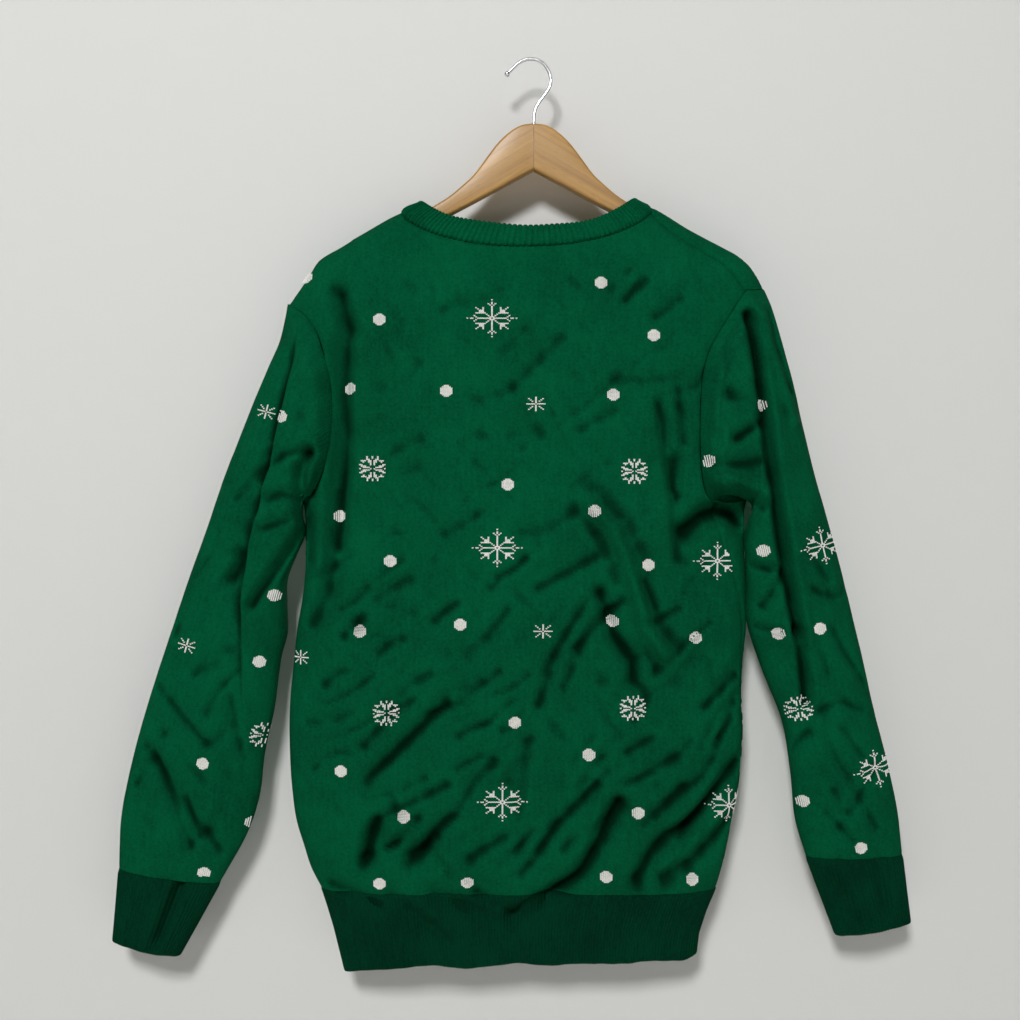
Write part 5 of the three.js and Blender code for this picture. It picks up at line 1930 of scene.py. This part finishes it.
@dataclass
class Studio:
    """A pale wall and floor, three soft lights and the camera: key above it, fill beside it, one behind."""

    wall_y: float = 0.038
    floor_z: float = -1.02
    key_watts: float = 92
    fill_watts: float = 2.5
    rear_watts: float = 60
    sky: float = 0.12

    def sheet(self, name: str, corners: list[tuple[float, float, float]], finish: bpy.types.Material) -> None:
        """A flat piece of the room.

        Args:
            name: its name.
            corners: its corners, anticlockwise from the side that shows.
            finish: its material.
        """
        mesh = bpy.data.meshes.new(name)
        mesh.from_pydata(corners, [], [tuple(range(len(corners)))])
        mesh.materials.append(finish)
        linked(name, mesh)

    def light(self, name: str, place: tuple[float, float, float], size: float, watts: float) -> None:
        """A square soft light that faces the jumper's middle.

        Args:
            name: its name.
            place: where it stands.
            size: its width in metres.
            watts: its power.
        """
        lamp = bpy.data.lights.new(name, "AREA")
        lamp.size = size
        lamp.energy = watts
        piece = linked(name, lamp)
        aim = Vector((0, 0, -0.4)) - Vector(place)
        piece.location = place
        piece.rotation_euler = aim.to_track_quat("-Z", "Y").to_euler()

    def camera(self) -> None:
        """The camera at the photograph's place."""
        data = bpy.data.cameras.new("camera")
        data.sensor_fit = "HORIZONTAL"
        data.angle = 2 * math.atan(PHOTO_WIDTH * PHOTO_MM / 2 / CAMERA_DISTANCE)
        piece = linked("camera", data)
        piece.location = (CAMERA_X * MM, -CAMERA_DISTANCE * MM, CAMERA_Z * MM)
        piece.rotation_euler = (math.pi / 2, 0, 0)
        bpy.context.scene.camera = piece

    def build(self) -> None:
        """Sets the whole room."""
        wall = Emulsion(one_sided=True).material()
        floor = Emulsion("Pale floor paint", "#E6E5E1").material()
        y, z = self.wall_y, self.floor_z
        self.sheet("studio_wall", [(-4, y, z), (4, y, z), (4, y, 3), (-4, y, 3)], wall)
        self.sheet("studio_floor", [(-5, -5, z), (5, -5, z), (5, 5, z), (-5, 5, z)], floor)
        self.light("key_light", (-0.55, -2.75, 1.3), 0.6, self.key_watts)
        self.light("rear_light", (0.7, 2.6, 0.8), 1.4, self.rear_watts)
        self.light("fill_light", (1.6, -2.4, -0.2), 2.2, self.fill_watts)
        world = bpy.data.worlds.new("studio")
        world.use_nodes = True
        world.node_tree.nodes["Background"].inputs[0].default_value = linear("#F2F4F6")
        world.node_tree.nodes["Background"].inputs[1].default_value = self.sky
        bpy.context.scene.world = world
        bpy.context.scene.view_settings.view_transform = "Standard"
        self.camera()


# Putting it together


def settle(piece: bpy.types.Object, slot: str, *nodes: str) -> None:
    """Rides a piece on the part, in place of its solids, and reports it.

    Args:
        piece: the object.
        slot: not used.
        nodes: the solids that it stands for.
    """
    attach(piece, "root")
    if nodes:
        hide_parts(*nodes)
    LOG.info("%s: %d faces", piece.name, len(piece.data.polygons))


def main() -> None:
    """Builds the jumper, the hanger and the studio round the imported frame."""
    logging.basicConfig(level=logging.INFO, format="%(message)s")
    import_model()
    Studio().build()
    finishes = make_finishes()
    ribs, rib_keys = rib_tree()
    vs, v_keys = stitch_tree()

    back, front = Panel(Side.BACK, finishes.knit), Panel(Side.FRONT, finishes.knit)
    left = Sleeve("jumper_left_sleeve", False, finishes.knit)
    right = Sleeve("jumper_right_sleeve", True, finishes.knit)
    pieces = {}
    for key, maker, node in (("back", back, "body_back"), ("front", front, "body_front"),
                             ("left", left, "sleeve_left"), ("right", right, "sleeve_right")):
        pieces[key] = maker.build()
        settle(pieces[key], "knit_green", node)
        stitches = StitchSet(f"motifs_{key}")
        maker.motifs(stitches)
        pieces[f"{key} motifs"] = stitches.build(vs, v_keys, finishes.motif)
        settle(pieces[f"{key} motifs"], "")

    cuff = Cuff(finishes.rib, ribs, rib_keys)
    pieces["left cuff"] = cuff.make("jumper_left_cuff", left, LEFT_CUFF_END)
    pieces["right cuff"] = cuff.make("jumper_right_cuff", right, RIGHT_CUFF_END)
    pieces["hem"] = Hem(finishes.rib, ribs, rib_keys).make()
    pieces["collar"] = Collar(finishes.collar, ribs, rib_keys, wall=2.6, points_a_rib=10).make(back, front)
    for key, node in (("left cuff", "cuff_left"), ("right cuff", "cuff_right"), ("hem", "hem_rib"),
                      ("collar", "neck_rib")):
        settle(pieces[key], "rib_green", node)

    hanger = Hanger(finishes.beech, finishes.wire)
    for way, node in ((-1, "hanger_left"), (1, "hanger_right")):
        pieces[node] = hanger.half(way)
        settle(pieces[node], "beech", node)
    pieces["hook"] = hanger.wire_hook()
    settle(pieces["hook"], "wire", "hanger_hook")


if __name__ == "__main__":
    main()
